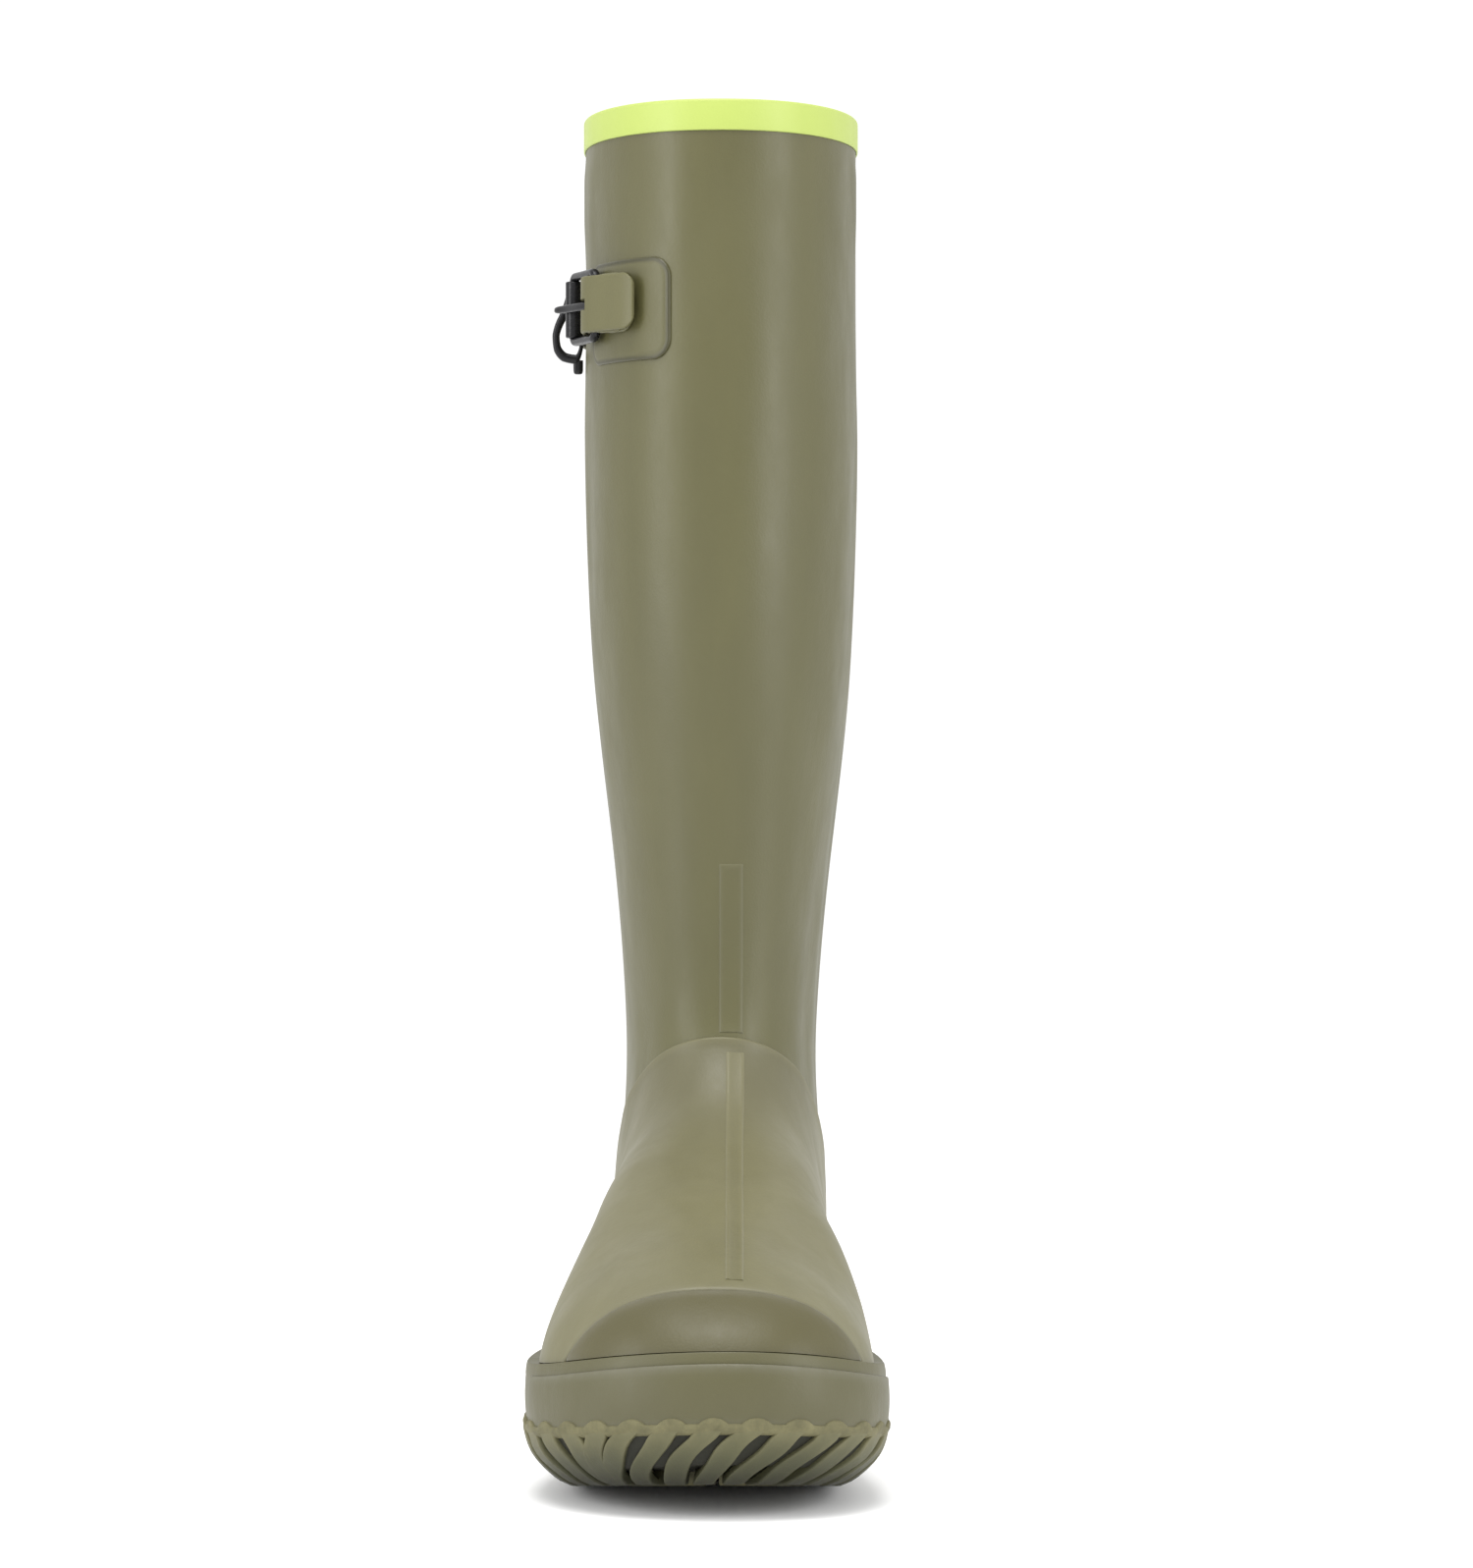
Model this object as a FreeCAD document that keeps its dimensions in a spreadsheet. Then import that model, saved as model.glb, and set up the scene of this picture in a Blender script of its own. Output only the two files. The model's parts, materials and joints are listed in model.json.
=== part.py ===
"""A tall insulated rubber hunting boot for the right foot, with a buckled strap at the top.

Axes: +Z is up, the toe points along -Y and the outer side of the foot is at -X. The origin lies on
the ground under the middle of the boot. Lengths are in millimetres. In the tables below "forward"
is the distance in front of the origin, so y = -forward.
"""
import FreeCAD, Part
import math
import os
from FreeCAD import Placement, Rotation, Vector

os.makedirs("parts", exist_ok=True)
doc = FreeCAD.newDocument("HuntingBoot")

# ---------------------------------------------------------------- driving dimensions
DIMENSIONS = {
    # overall sizes; the section tables are drawn for these and stretch with them
    "BootHeight": 457.0,
    "FootLength": 300.0,
    "BallWidth": 116.2,
    # walls
    "UpperWall": 2.3,
    "InsulationWall": 3.0,
    "LiningWall": 1.0,
    "GlueGap": 0.1,
    "StiffenerWall": 1.1,
    "OverlayWall": 1.1,
    "ToeCapWall": 1.9,
    "BindingWall": 1.2,
    "BindingOutside": 10.5,
    "BindingInside": 8.0,
    # strips
    "ShinStripWidth": 8.0,
    "VampRidgeWidth": 6.0,
    "BackStayWidth": 18.0,
    "RidgeWall": 0.8,
    # sole
    "LugDepth": 7.0,
    "OutsolePlate": 4.0,
    "OutsoleRim": 5.0,
    "BumperWall": 0.9,
    "LugWrap": 1.2,
    "ShankLength": 92.0,
    "ShankWidth": 16.0,
    "ShankWall": 1.6,
    "InsoleBoardWall": 2.2,
    "FootbedWall": 5.0,
    "FootbedCoverWall": 1.0,
    # strap and buckle
    "StrapHeight": 390.5,
    "StrapWidth": 19.0,
    "StrapWall": 1.8,
    "ChapeWidth": 20.0,
    "ChapeWall": 1.2,
    "FrameLength": 22.0,
    "FrameHeight": 24.4,
    "RailWall": 2.4,
    "BarRadius": 1.6,
    "RollerRadius": 3.0,
    "RollerBore": 1.65,
    "RollerLength": 19.2,
    "RollerRise": 1.75,
    "EyeRadius": 2.9,
    "EyeBore": 1.65,
    "ProngWidth": 3.0,
    "KeeperDepth": 3.0,
}

sheet = doc.addObject("Spreadsheet::Sheet", "Sizes")
for row, (alias, value) in enumerate(DIMENSIONS.items(), start=1):
    sheet.set(f"A{row}", alias)
    sheet.set(f"B{row}", str(value))
    sheet.setAlias(f"B{row}", alias)
doc.recompute()


def size(alias):
    """The value of one cell of the sheet."""
    return float(sheet.get(alias))


NOMINAL_HEIGHT = 457.0
NOMINAL_LENGTH = 300.0
NOMINAL_WIDTH = 116.2
TALL = size("BootHeight") / NOMINAL_HEIGHT
LONG = size("FootLength") / NOMINAL_LENGTH
WIDE = size("BallWidth") / NOMINAL_WIDTH
GAP = size("GlueGap")
FAR = 400.0

# ---------------------------------------------------------------- the boot's outer surface
# Sections from the rim down the shaft, round the heel and along the foot to the toe. Each is a
# closed oval in a plane that stands square to the leg at the top and square to the foot at the
# toe. Columns: forward and height of its front (or top) point, forward and height of its back
# (or bottom) point, its outer and inner side, how far down the section is widest, and how square
# its front and back halves are (2 is an ellipse).
SECTIONS = [
    (5.0, 457.0, -149.0, 457.0, -42.1, 51.3, 0.50, 2.15, 2.15),
    (5.0, 422.0, -149.0, 422.0, -42.1, 51.3, 0.50, 2.15, 2.15),
    (5.0, 386.0, -149.0, 386.0, -42.1, 51.3, 0.50, 2.15, 2.15),
    (4.8, 350.0, -149.0, 350.0, -42.4, 51.6, 0.50, 2.15, 2.15),
    (3.0, 305.0, -148.5, 305.0, -41.6, 50.8, 0.50, 2.12, 2.15),
    (-2.0, 264.0, -147.0, 264.0, -39.6, 48.8, 0.50, 2.10, 2.15),
    (-9.0, 226.0, -144.5, 226.0, -35.6, 44.8, 0.50, 2.10, 2.15),
    (-14.5, 192.0, -141.5, 190.0, -31.6, 40.8, 0.50, 2.10, 2.15),
    (-18.0, 163.0, -139.0, 155.0, -29.0, 38.2, 0.50, 2.10, 2.15),
    (-16.0, 143.0, -138.0, 120.0, -28.2, 37.4, 0.52, 2.10, 2.20),
    (-7.5, 128.5, -140.5, 86.0, -29.6, 38.8, 0.56, 2.20, 2.30),
    (3.0, 118.5, -143.0, 54.0, -31.6, 39.8, 0.62, 2.60, 2.50),
    (14.0, 111.5, -138.0, 28.0, -33.8, 40.2, 0.68, 3.40, 3.00),
    (26.0, 105.5, -98.0, 20.0, -35.8, 40.6, 0.72, 4.20, 3.60),
    (38.0, 100.0, -45.0, 19.5, -38.6, 42.0, 0.74, 4.10, 4.20),
    (51.0, 94.8, 10.0, 18.5, -43.6, 47.4, 0.75, 3.30, 4.50),
    (66.0, 89.3, 52.0, 17.5, -49.8, 52.2, 0.75, 2.50, 4.50),
    (84.0, 83.3, 80.0, 18.0, -52.6, 53.4, 0.74, 2.15, 4.50),
    (101.0, 77.8, 101.0, 19.5, -49.6, 52.4, 0.72, 2.15, 4.20),
    (117.0, 72.0, 118.0, 22.0, -41.2, 47.4, 0.70, 2.30, 3.80),
    (130.0, 65.0, 132.0, 25.0, -31.0, 39.5, 0.66, 2.40, 3.40),
    (139.0, 57.5, 141.0, 28.0, -18.5, 29.5, 0.60, 2.40, 3.00),
    (144.5, 48.0, 145.0, 33.0, -5.5, 18.5, 0.50, 2.30, 2.60),
]
RING_POINTS = 28
FINE_STEPS = 180
STEEPEST = 3.0
TIP_MARGIN = 2.5
TIP_SHRINK = 0.3


def flat_vector(forward, height):
    return Vector(0, -forward * LONG, height * TALL)


def cross_length(first, second):
    return first.cross(second).Length


def unit(vector):
    return vector / vector.Length


def inset_sections(inset, top):
    """The sections moved inward by inset along the surface's own slope, with the rim at top."""
    fronts = [flat_vector(row[0], row[1]) for row in SECTIONS]
    backs = [flat_vector(row[2], row[3]) for row in SECTIONS]
    sides = [(row[4] * WIDE, row[5] * WIDE) for row in SECTIONS]
    waists = [front + (back - front) * row[6] for front, back, row in zip(fronts, backs, SECTIONS)]
    last = len(SECTIONS) - 1
    tip = -fronts[last].y - inset
    moved = []
    for index, row in enumerate(SECTIONS):
        front, back = fronts[index], backs[index]
        outer, inner = sides[index]
        across = unit(back - front)
        before, after = max(index - 1, 0), min(index + 1, last)
        if index == last:
            shift = Vector(0, inset, 0)
            pinch = across * (TIP_SHRINK * inset)
            front, back = front + shift + pinch, back + shift - pinch
            outer, inner = outer + TIP_SHRINK * inset, inner - TIP_SHRINK * inset
        else:
            if -front.y > tip - TIP_MARGIN:
                continue
            front_slope = cross_length(unit(fronts[after] - fronts[before]), across)
            back_slope = cross_length(unit(backs[after] - backs[before]), across)
            step = (waists[after] - waists[before]).Length
            outer_slope = (sides[after][0] - sides[before][0]) / step
            inner_slope = (sides[after][1] - sides[before][1]) / step
            front = front + across * (inset * min(1 / front_slope, STEEPEST))
            back = back - across * (inset * min(1 / back_slope, STEEPEST))
            outer = outer + inset * min(math.hypot(1, outer_slope), STEEPEST)
            inner = inner - inset * min(math.hypot(1, inner_slope), STEEPEST)
        if index == 0:
            front.z = back.z = top
        moved.append((front, back, outer, inner, row[6], row[7], row[8]))
    return moved


def oval_point(front, back, outer, inner, waist, powers, turn):
    """The point of a section at an angle from its front point, the inner side coming first."""
    middle = (outer + inner) / 2
    cosine, sine = math.cos(turn), math.sin(turn)
    power = powers[0] if cosine > 0 else powers[1]
    along = abs(cosine) ** (2 / power)
    aside = abs(sine) ** (2 / power)
    depth = waist * (1 - along) if cosine > 0 else waist + (1 - waist) * along
    half = inner - middle if sine >= 0 else outer - middle
    point = front + (back - front) * depth
    return Vector(middle + half * aside, point.y, point.z)


def evenly_spaced(points, count):
    """Count points at equal steps along a line of close points, without its end point."""
    travelled = [0.0]
    for first, second in zip(points, points[1:]):
        travelled.append(travelled[-1] + (second - first).Length)
    spaced, index = [], 0
    for step in range(count):
        wanted = travelled[-1] * step / count
        while travelled[index + 1] < wanted:
            index += 1
        part = (wanted - travelled[index]) / (travelled[index + 1] - travelled[index])
        spaced.append(points[index] + (points[index + 1] - points[index]) * part)
    return spaced


def section_ring(front, back, outer, inner, waist, front_power, back_power):
    """Points round one section, evenly spaced down its inner side and up its outer side."""
    powers = (front_power, back_power)
    ring = []
    for side in (0, 1):
        turns = [math.pi * (side + step / FINE_STEPS) for step in range(FINE_STEPS + 1)]
        fine = [oval_point(front, back, outer, inner, waist, powers, turn) for turn in turns]
        ring += evenly_spaced(fine, RING_POINTS // 2)
    return ring


def closed_curve(points):
    """A smooth closed curve through points, with evenly spaced knots."""
    curve = Part.BSplineCurve()
    knots = [index / len(points) for index in range(len(points) + 1)]
    curve.interpolate(Points=points, PeriodicFlag=True, Parameters=knots)
    return curve


def open_curve(points):
    curve = Part.BSplineCurve()
    curve.interpolate(points)
    return curve


def closed_wire(points):
    return Part.Wire(closed_curve(points).toShape())


def skin(rings):
    """A closed solid: one smooth surface through a stack of rings, with a flat face at each end."""
    curves = [closed_curve(ring) for ring in rings]
    travelled = [0.0]
    for first, second in zip(rings, rings[1:]):
        steps = [(b - a).Length for a, b in zip(first, second)]
        travelled.append(travelled[-1] + sum(steps) / len(steps))
    knots = [distance / travelled[-1] for distance in travelled]
    columns = []
    for pole in range(1, curves[0].NbPoles + 1):
        column = Part.BSplineCurve()
        column.interpolate(Points=[curve.getPole(pole) for curve in curves], Parameters=knots)
        columns.append(column)
    surface = Part.BSplineSurface()
    surface.buildFromPolesMultsKnots(
        [column.getPoles() for column in columns],
        curves[0].getMultiplicities(), columns[0].getMultiplicities(),
        curves[0].getKnots(), columns[0].getKnots(), True, False, 3, 3)
    side = surface.toShape()
    ends = [Part.Face(Part.Wire(edge)) for edge in side.Edges if edge.isClosed() and not edge.isSeam(side)]
    shell = Part.Shell([side] + ends)
    shell.sewShape()
    return Part.Solid(shell)


made_forms = {}


def boot_form(inset, top=None):
    """The closed solid inside the boot's surface moved inward by inset, with its rim at top."""
    top = size("BootHeight") if top is None else top
    key = (round(inset, 3), round(top, 3))
    if key not in made_forms:
        made_forms[key] = skin([section_ring(*values) for values in inset_sections(inset, top)])
    return made_forms[key]


# ---------------------------------------------------------------- lines of the sole, seen from the side
# Each line is a list of (forward, height) points.
FOXING_TOP = [(-156, 50), (-100, 47), (-40, 44), (30, 43), (85, 43.5), (120, 47.5), (156, 55.5)]
FOXING_FOOT = [(-156, 24.5), (-100, 22.5), (-40, 22), (30, 21.5), (85, 22), (120, 25), (156, 30.5)]
TREAD_BASE_RISE = [(-156, 0), (-80, 0), (-66, 1.2), (-45, 3), (-22, 3), (-4, 1.2), (8, 0), (156, 0)]
TOE_SPRING = 13.0
SPRING_START = 40.0
SPRING_POWER = 1.25
LINE_STEPS = 9
OVERRUN = 156.0
INSOLE_LINE = [(-156, 29.0), (-138, 27.4), (-98, 26.4), (-45, 26.0), (10, 25.1), (80, 24.8),
               (101, 26.2), (118, 28.7), (132, 31.8), (156, 39.0)]


def ground_height(forward):
    """The height of the tread's lowest points: flat on the ground, then rising to the toe."""
    past = max(forward - SPRING_START, 0.0)
    return TOE_SPRING * (past / (NOMINAL_LENGTH / 2 - SPRING_START)) ** SPRING_POWER


def line_height(line, forward):
    """The height of a line at a forward distance, on a smooth curve through its points."""
    for index in range(len(line) - 1):
        (start, low), (end, high) = line[index], line[index + 1]
        if forward <= end or index == len(line) - 2:
            part = (forward - start) / (end - start)
            before = line[max(index - 1, 0)]
            after = line[min(index + 2, len(line) - 1)]
            slope_in = (high - before[1]) / (end - before[0]) * (end - start)
            slope_out = (after[1] - low) / (after[0] - start) * (end - start)
            return (low * (1 + 2 * part) * (1 - part) ** 2 + slope_in * part * (1 - part) ** 2
                    + high * part ** 2 * (3 - 2 * part) + slope_out * part ** 2 * (part - 1))
    return line[-1][1]


def foxing_top(forward):
    return line_height(FOXING_TOP, forward)


def foxing_foot(forward):
    return line_height(FOXING_FOOT, forward)


def tread_base(forward):
    """The underside of the outsole between its lugs, a little higher under the arch."""
    return ground_height(forward) + size("LugDepth") + line_height(TREAD_BASE_RISE, forward)


def line_edges(line, start, end):
    """Edges along a height line, which is a number or a function of the forward distance."""
    if not callable(line):
        return [Part.makeLine(flat_vector(start, line), flat_vector(end, line))]
    stops = [start, SPRING_START, end] if start < SPRING_START < end else [start, end]
    edges = []
    for first, last in zip(stops, stops[1:]):
        stations = [first + (last - first) * step / LINE_STEPS for step in range(LINE_STEPS + 1)]
        edges.append(open_curve([flat_vector(f, line(f)) for f in stations]).toShape())
    return edges


def side_band(low, high, start=-OVERRUN, end=OVERRUN):
    """A wide prism across the boot between two height lines."""
    lower, upper = line_edges(low, start, end), line_edges(high, start, end)
    closing = []
    for forward in (start, end):
        heights = [line(forward) if callable(line) else line for line in (low, high)]
        closing.append(Part.makeLine(flat_vector(forward, heights[0]), flat_vector(forward, heights[1])))
    return across(Part.Wire(Part.__sortEdges__(lower + upper + closing)))


def across(wire):
    """The prism across the whole boot over a wire in the side view."""
    face = Part.Face(wire)
    face.translate(Vector(-FAR / 2, 0, 0))
    return face.extrude(Vector(FAR, 0, 0))


def side_region(corners, curve=()):
    """A wide prism across the boot: a smooth line through curve, if any, closed by the corners."""
    points = [flat_vector(*point) for point in list(curve[-1:]) + list(corners) + list(curve[:1])]
    if not curve:
        points.append(points[0])
    edges = Part.makePolygon(points).Edges
    if curve:
        edges.append(open_curve([flat_vector(*point) for point in curve]).toShape())
    return across(Part.Wire(Part.__sortEdges__(edges)))


def box(low_x, high_x, low_y, high_y, low_z, high_z):
    corner = Vector(low_x, low_y, low_z)
    return Part.makeBox(high_x - low_x, high_y - low_y, high_z - low_z, corner)


# ---------------------------------------------------------------- the sole's outline, seen from above
# (side, forward) points round the widest line of the sole, heel first, then up the outer side.
OUTLINE = [(4.0, -149.1), (-17.0, -144.5), (-31.0, -129), (-37.6, -106), (-39.6, -80), (-40.8, -50),
           (-43.8, -20), (-49.0, 10), (-54.4, 38), (-56.9, 64), (-55.8, 86), (-50.0, 106),
           (-40.0, 124), (-26.5, 138), (-10.0, 146.2), (7.5, 149.1), (25.5, 145.2), (41.0, 134),
           (51.5, 117), (56.3, 97), (56.9, 77), (55.6, 54), (52.0, 28), (47.4, -2),
           (44.6, -34), (44.0, -66), (43.8, -96), (39.8, -122), (26.5, -142)]
# How far the wall stands inside that outline, against how far up it is from the ground (0) to the
# foot of the foxing (1).
WALL_CURVE = [(0.0, 18.0), (0.13, 12.0), (0.34, 6.8), (0.62, 2.4), (1.0, 0.0)]
FOXING_LEAN_TOP = 60.0
FOXING_LEAN = 4.4
BELOW_GROUND = -20.0


def outline_points(inset):
    """The outline's points moved inward by inset, at height zero."""
    plan = [Vector(side * WIDE, -forward * LONG, 0) for side, forward in OUTLINE]
    curve = closed_curve(plan)
    points = []
    for index, point in enumerate(plan):
        tangent = curve.tangent(index / len(plan))[0]
        points.append(point + Vector(-tangent.y, tangent.x, 0) * inset)
    return points


def sole_form(outset):
    """The closed solid inside the sole's side walls, moved outward by outset."""
    rings = [[Vector(p.x, p.y, BELOW_GROUND) for p in outline_points(WALL_CURVE[0][1] - outset)]]
    for climb, inset in WALL_CURVE:
        ring = []
        for point in outline_points(inset - outset):
            forward = -point.y / LONG
            low, high = ground_height(forward), foxing_foot(forward)
            ring.append(Vector(point.x, point.y, (low + (high - low) * climb) * TALL))
        rings.append(ring)
    rings.append([Vector(p.x, p.y, FOXING_LEAN_TOP * TALL) for p in outline_points(FOXING_LEAN - outset)])
    return skin(rings)


# ---------------------------------------------------------------- nodes
nodes = []


def keep(item, name):
    """Names a document object as one piece of the boot."""
    item.Label = name
    nodes.append(item)
    return item


def add_solid(name, shape):
    """A piece whose shape follows the boot's curved surface."""
    feature = doc.addObject("Part::Feature", name)
    feature.Shape = shape
    feature.Placement = Placement()
    return keep(feature, name)


# ---------------------------------------------------------------- sketch helpers
def body_with_sketch(name, plane_role):
    """A new body with a sketch on one of its own origin planes."""
    body = doc.addObject("PartDesign::Body", name)
    return body, sketch_on(body, plane_role)


def sketch_on(body, plane_role, offset=0.0):
    sketch = body.newObject("Sketcher::SketchObject", body.Name + "_sketch")
    plane = next(item for item in body.Origin.OriginFeatures if item.Role == plane_role)
    sketch.AttachmentSupport = [(plane, "")]
    sketch.MapMode = "FlatFace"
    sketch.AttachmentOffset = Placement(Vector(0, 0, offset), Rotation())
    return sketch


def pad(body, sketch, length, both_ways=False):
    """A pad whose length is bound to a cell of the sheet, or to a formula of cells."""
    feature = body.newObject("PartDesign::Pad", body.Name + "_pad")
    feature.Profile = sketch
    feature.setExpression("Length", "Sizes." + length)
    feature.Midplane = both_ways
    body.Tip = feature
    return feature


# ---------------------------------------------------------------- the soft shell, layer by layer
RIM_GAP = 1.2
LINING_GAP = 0.3
OPEN_TOP = 470.0
shell_top = size("BootHeight") - RIM_GAP
sock_top = shell_top - 0.8
upper_wall = size("UpperWall")
insulation_start = upper_wall + GAP
insulation_end = insulation_start + size("InsulationWall")
lining_start = insulation_end + GAP
lining_end = lining_start + size("LiningWall")

TOE_STIFFENER_AREA = [(88, 36), (170, 36), (170, 90), (106, 90)]
HEEL_STIFFENER_AREA = [(-92, 36), (-104, 92), (-170, 92), (-170, 36)]
POCKET_MARGIN = 0.4


def grown(area, margin):
    """A polygon's corners moved away from its middle."""
    forward = sum(point[0] for point in area) / len(area)
    height = sum(point[1] for point in area) / len(area)
    spread = [(math.copysign(margin, f - forward), math.copysign(margin, z - height)) for f, z in area]
    return [(f + step[0], z + step[1]) for (f, z), step in zip(area, spread)]


def layer(outer_inset, inner_inset, top):
    """A wall of the shell that is open at the rim."""
    return boot_form(outer_inset, top).cut(boot_form(inner_inset, OPEN_TOP))


def patch_layer(area, outer_inset, inner_inset):
    """The part of a wall that lies within one area."""
    return area.common(boot_form(outer_inset)).cut(boot_form(inner_inset, OPEN_TOP))


def make_shell():
    add_solid("rubber_upper", layer(0, upper_wall, shell_top))
    insulation = layer(insulation_start, insulation_end, sock_top)
    stiffener_end = insulation_start + size("StiffenerWall")
    for name, area in (("toe_stiffener", TOE_STIFFENER_AREA), ("heel_stiffener", HEEL_STIFFENER_AREA)):
        add_solid(name, patch_layer(side_region(area), insulation_start, stiffener_end))
        pocket = side_region(grown(area, POCKET_MARGIN))
        insulation = insulation.cut(pocket.cut(boot_form(stiffener_end + GAP, OPEN_TOP)))
    add_solid("insulation_bootie", insulation)
    add_solid("lining_sock", layer(lining_start, lining_end, sock_top))


# ---------------------------------------------------------------- the shaft in plan view
shaft_front, _, shaft_back, _, shaft_outer, shaft_inner, _, SHAFT_POWER, _ = SECTIONS[1]
shaft_middle = Vector((shaft_outer + shaft_inner) / 2 * WIDE, -(shaft_front + shaft_back) / 2 * LONG, 0)
shaft_half_width = (shaft_inner - shaft_outer) / 2 * WIDE
shaft_half_length = (shaft_front - shaft_back) / 2 * LONG
SMALL_ANGLE = 0.01
PLAN_POINTS = 48


def signed_power(value, power):
    return math.copysign(abs(value) ** power, value)


def shaft_normal(angle):
    """The outward direction at an angle from the outer side of the leg towards the shin."""
    turn = math.radians(angle)
    along_x = -signed_power(math.cos(turn), 2 - 2 / SHAFT_POWER) / shaft_half_width
    along_y = -signed_power(math.sin(turn), 2 - 2 / SHAFT_POWER) / shaft_half_length
    return unit(Vector(along_x, along_y, 0))


def shaft_point(angle, offset):
    """A point that stands off the shaft's surface at an angle, in plan view."""
    turn = math.radians(angle)
    x = -shaft_half_width * signed_power(math.cos(turn), 2 / SHAFT_POWER)
    y = -shaft_half_length * signed_power(math.sin(turn), 2 / SHAFT_POWER)
    return shaft_middle + Vector(x, y, 0) + shaft_normal(angle) * offset


def shaft_prism(offset, low, high):
    """The solid inside the shaft's outline, moved outward by offset, between two heights."""
    fine = [shaft_point(360 * step / FINE_STEPS, offset) for step in range(FINE_STEPS + 1)]
    face = Part.Face(closed_wire(evenly_spaced(fine, PLAN_POINTS)))
    face.translate(Vector(0, 0, low))
    return face.extrude(Vector(0, 0, high - low))


def make_binding():
    """The rim binding: a skirt outside, a flat top over the rim and a shorter skirt inside."""
    top = size("BootHeight")
    wall = size("BindingWall")
    outer = shaft_prism(GAP + wall, top - size("BindingOutside"), top)
    clear = lining_end + LINING_GAP
    inner = shaft_prism(-clear - wall, 0, OPEN_TOP)
    groove = shaft_prism(GAP, 0, top - wall + GAP).cut(shaft_prism(-clear, 0, OPEN_TOP))
    below_inside = shaft_prism(-lining_end, 0, top - size("BindingInside"))
    add_solid("top_binding", outer.cut(inner).cut(groove).cut(below_inside))


# ---------------------------------------------------------------- rubber layers over the shell
VAMP_EDGE = [(-2, 152), (-18, 142), (-45, 124), (-72, 98), (-88, 70), (-95, 44)]
VAMP_CORNERS = [(-95, 20), (103.6, 20), (120, 80), (120, 170), (-2, 170)]
TOE_CAP_AREA = [(104.1, 20), (120.5, 80), (170, 80), (170, 20)]
HEEL_COUNTER_AREA = [(-100, 20), (-101, 47), (-111, 92), (-170, 92), (-170, 20)]
RIDGE_AREA = [(-13.5, 60), (112.5, 60), (112.5, 160), (-13.5, 160)]
SHIN_STRIP_SIDE = 8.2
SHIN_STRIP_LOW = 144.6
SHIN_STRIP_HIGH = 201.6
RIDGE_SIDE = 9.3
BACK_STAY_LOW = 92.4
BACK_STAY_HIGH = 446.2
FOXING_CLEARANCE = 0.15
KICK_LOW = 50.8
KICK_HIGH = 57.0
KICK_DEPTH = 4.0


def overlay(area, start, wall):
    """A layer of rubber that lies on the surface within an area, start above it."""
    return area.common(boot_form(-start - wall)).cut(boot_form(-start))


def make_overlays():
    wall = size("OverlayWall")
    below_foxing = side_band(-30, lambda forward: foxing_top(forward) + FOXING_CLEARANCE)
    vamp = overlay(side_region(VAMP_CORNERS, VAMP_EDGE).cut(below_foxing), GAP, wall)
    add_solid("vamp_overlay", vamp)
    add_solid("toe_cap", overlay(side_region(TOE_CAP_AREA).cut(below_foxing), GAP, size("ToeCapWall")))
    add_solid("heel_counter", overlay(side_region(HEEL_COUNTER_AREA).cut(below_foxing), GAP, wall))
    middle = shaft_middle.x
    half = size("BackStayWidth") / 2
    stay_area = box(middle - half, middle + half, 100, FAR, BACK_STAY_LOW, BACK_STAY_HIGH)
    add_solid("back_stay", overlay(stay_area, GAP, wall))
    half = size("ShinStripWidth") / 2
    strip_area = box(SHIN_STRIP_SIDE - half, SHIN_STRIP_SIDE + half, -60, 60, SHIN_STRIP_LOW, SHIN_STRIP_HIGH)
    add_solid("shin_strip", overlay(strip_area, GAP, size("RidgeWall")))
    half = size("VampRidgeWidth") / 2
    ridge_area = side_region(RIDGE_AREA).common(box(RIDGE_SIDE - half, RIDGE_SIDE + half, -FAR, FAR, 0, FAR))
    add_solid("vamp_ridge", overlay(ridge_area, GAP + wall + GAP, size("RidgeWall")))
    start = GAP + wall + GAP
    ledge = boot_form(-start).copy()
    ledge.translate(Vector(0, KICK_DEPTH, 0))
    ledge = ledge.common(box(-FAR, FAR, 100, FAR, KICK_LOW, KICK_HIGH)).cut(boot_form(-start))
    add_solid("heel_kick", ledge)


# ---------------------------------------------------------------- the sole
BUMPER_START = 93.0
BUMPER_MARGIN = 0.3
SHANK_MIDDLE = Vector(1.5, 29.0, 15.5)


def raised(line, step):
    """A height line moved up by step."""
    return lambda forward: line(forward) + step


def insole_line(forward):
    return line_height(INSOLE_LINE, forward)


def make_shank():
    """The flat steel strip under the arch, with round ends."""
    body, sketch = body_with_sketch("shank", "XY_Plane")
    half = (size("ShankLength") - size("ShankWidth")) / 2
    radius = size("ShankWidth") / 2
    sketch.addGeometry(Part.LineSegment(Vector(radius, -half, 0), Vector(radius, half, 0)), False)
    sketch.addGeometry(Part.LineSegment(Vector(-radius, -half, 0), Vector(-radius, half, 0)), False)
    for middle, first in ((half, 0), (-half, math.pi)):
        circle = Part.Circle(Vector(0, middle, 0), Vector(0, 0, 1), radius)
        sketch.addGeometry(Part.ArcOfCircle(circle, first, first + math.pi), False)
    pad(body, sketch, "ShankWall")
    body.Placement = Placement(SHANK_MIDDLE, Rotation())
    return keep(body, "shank")


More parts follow.
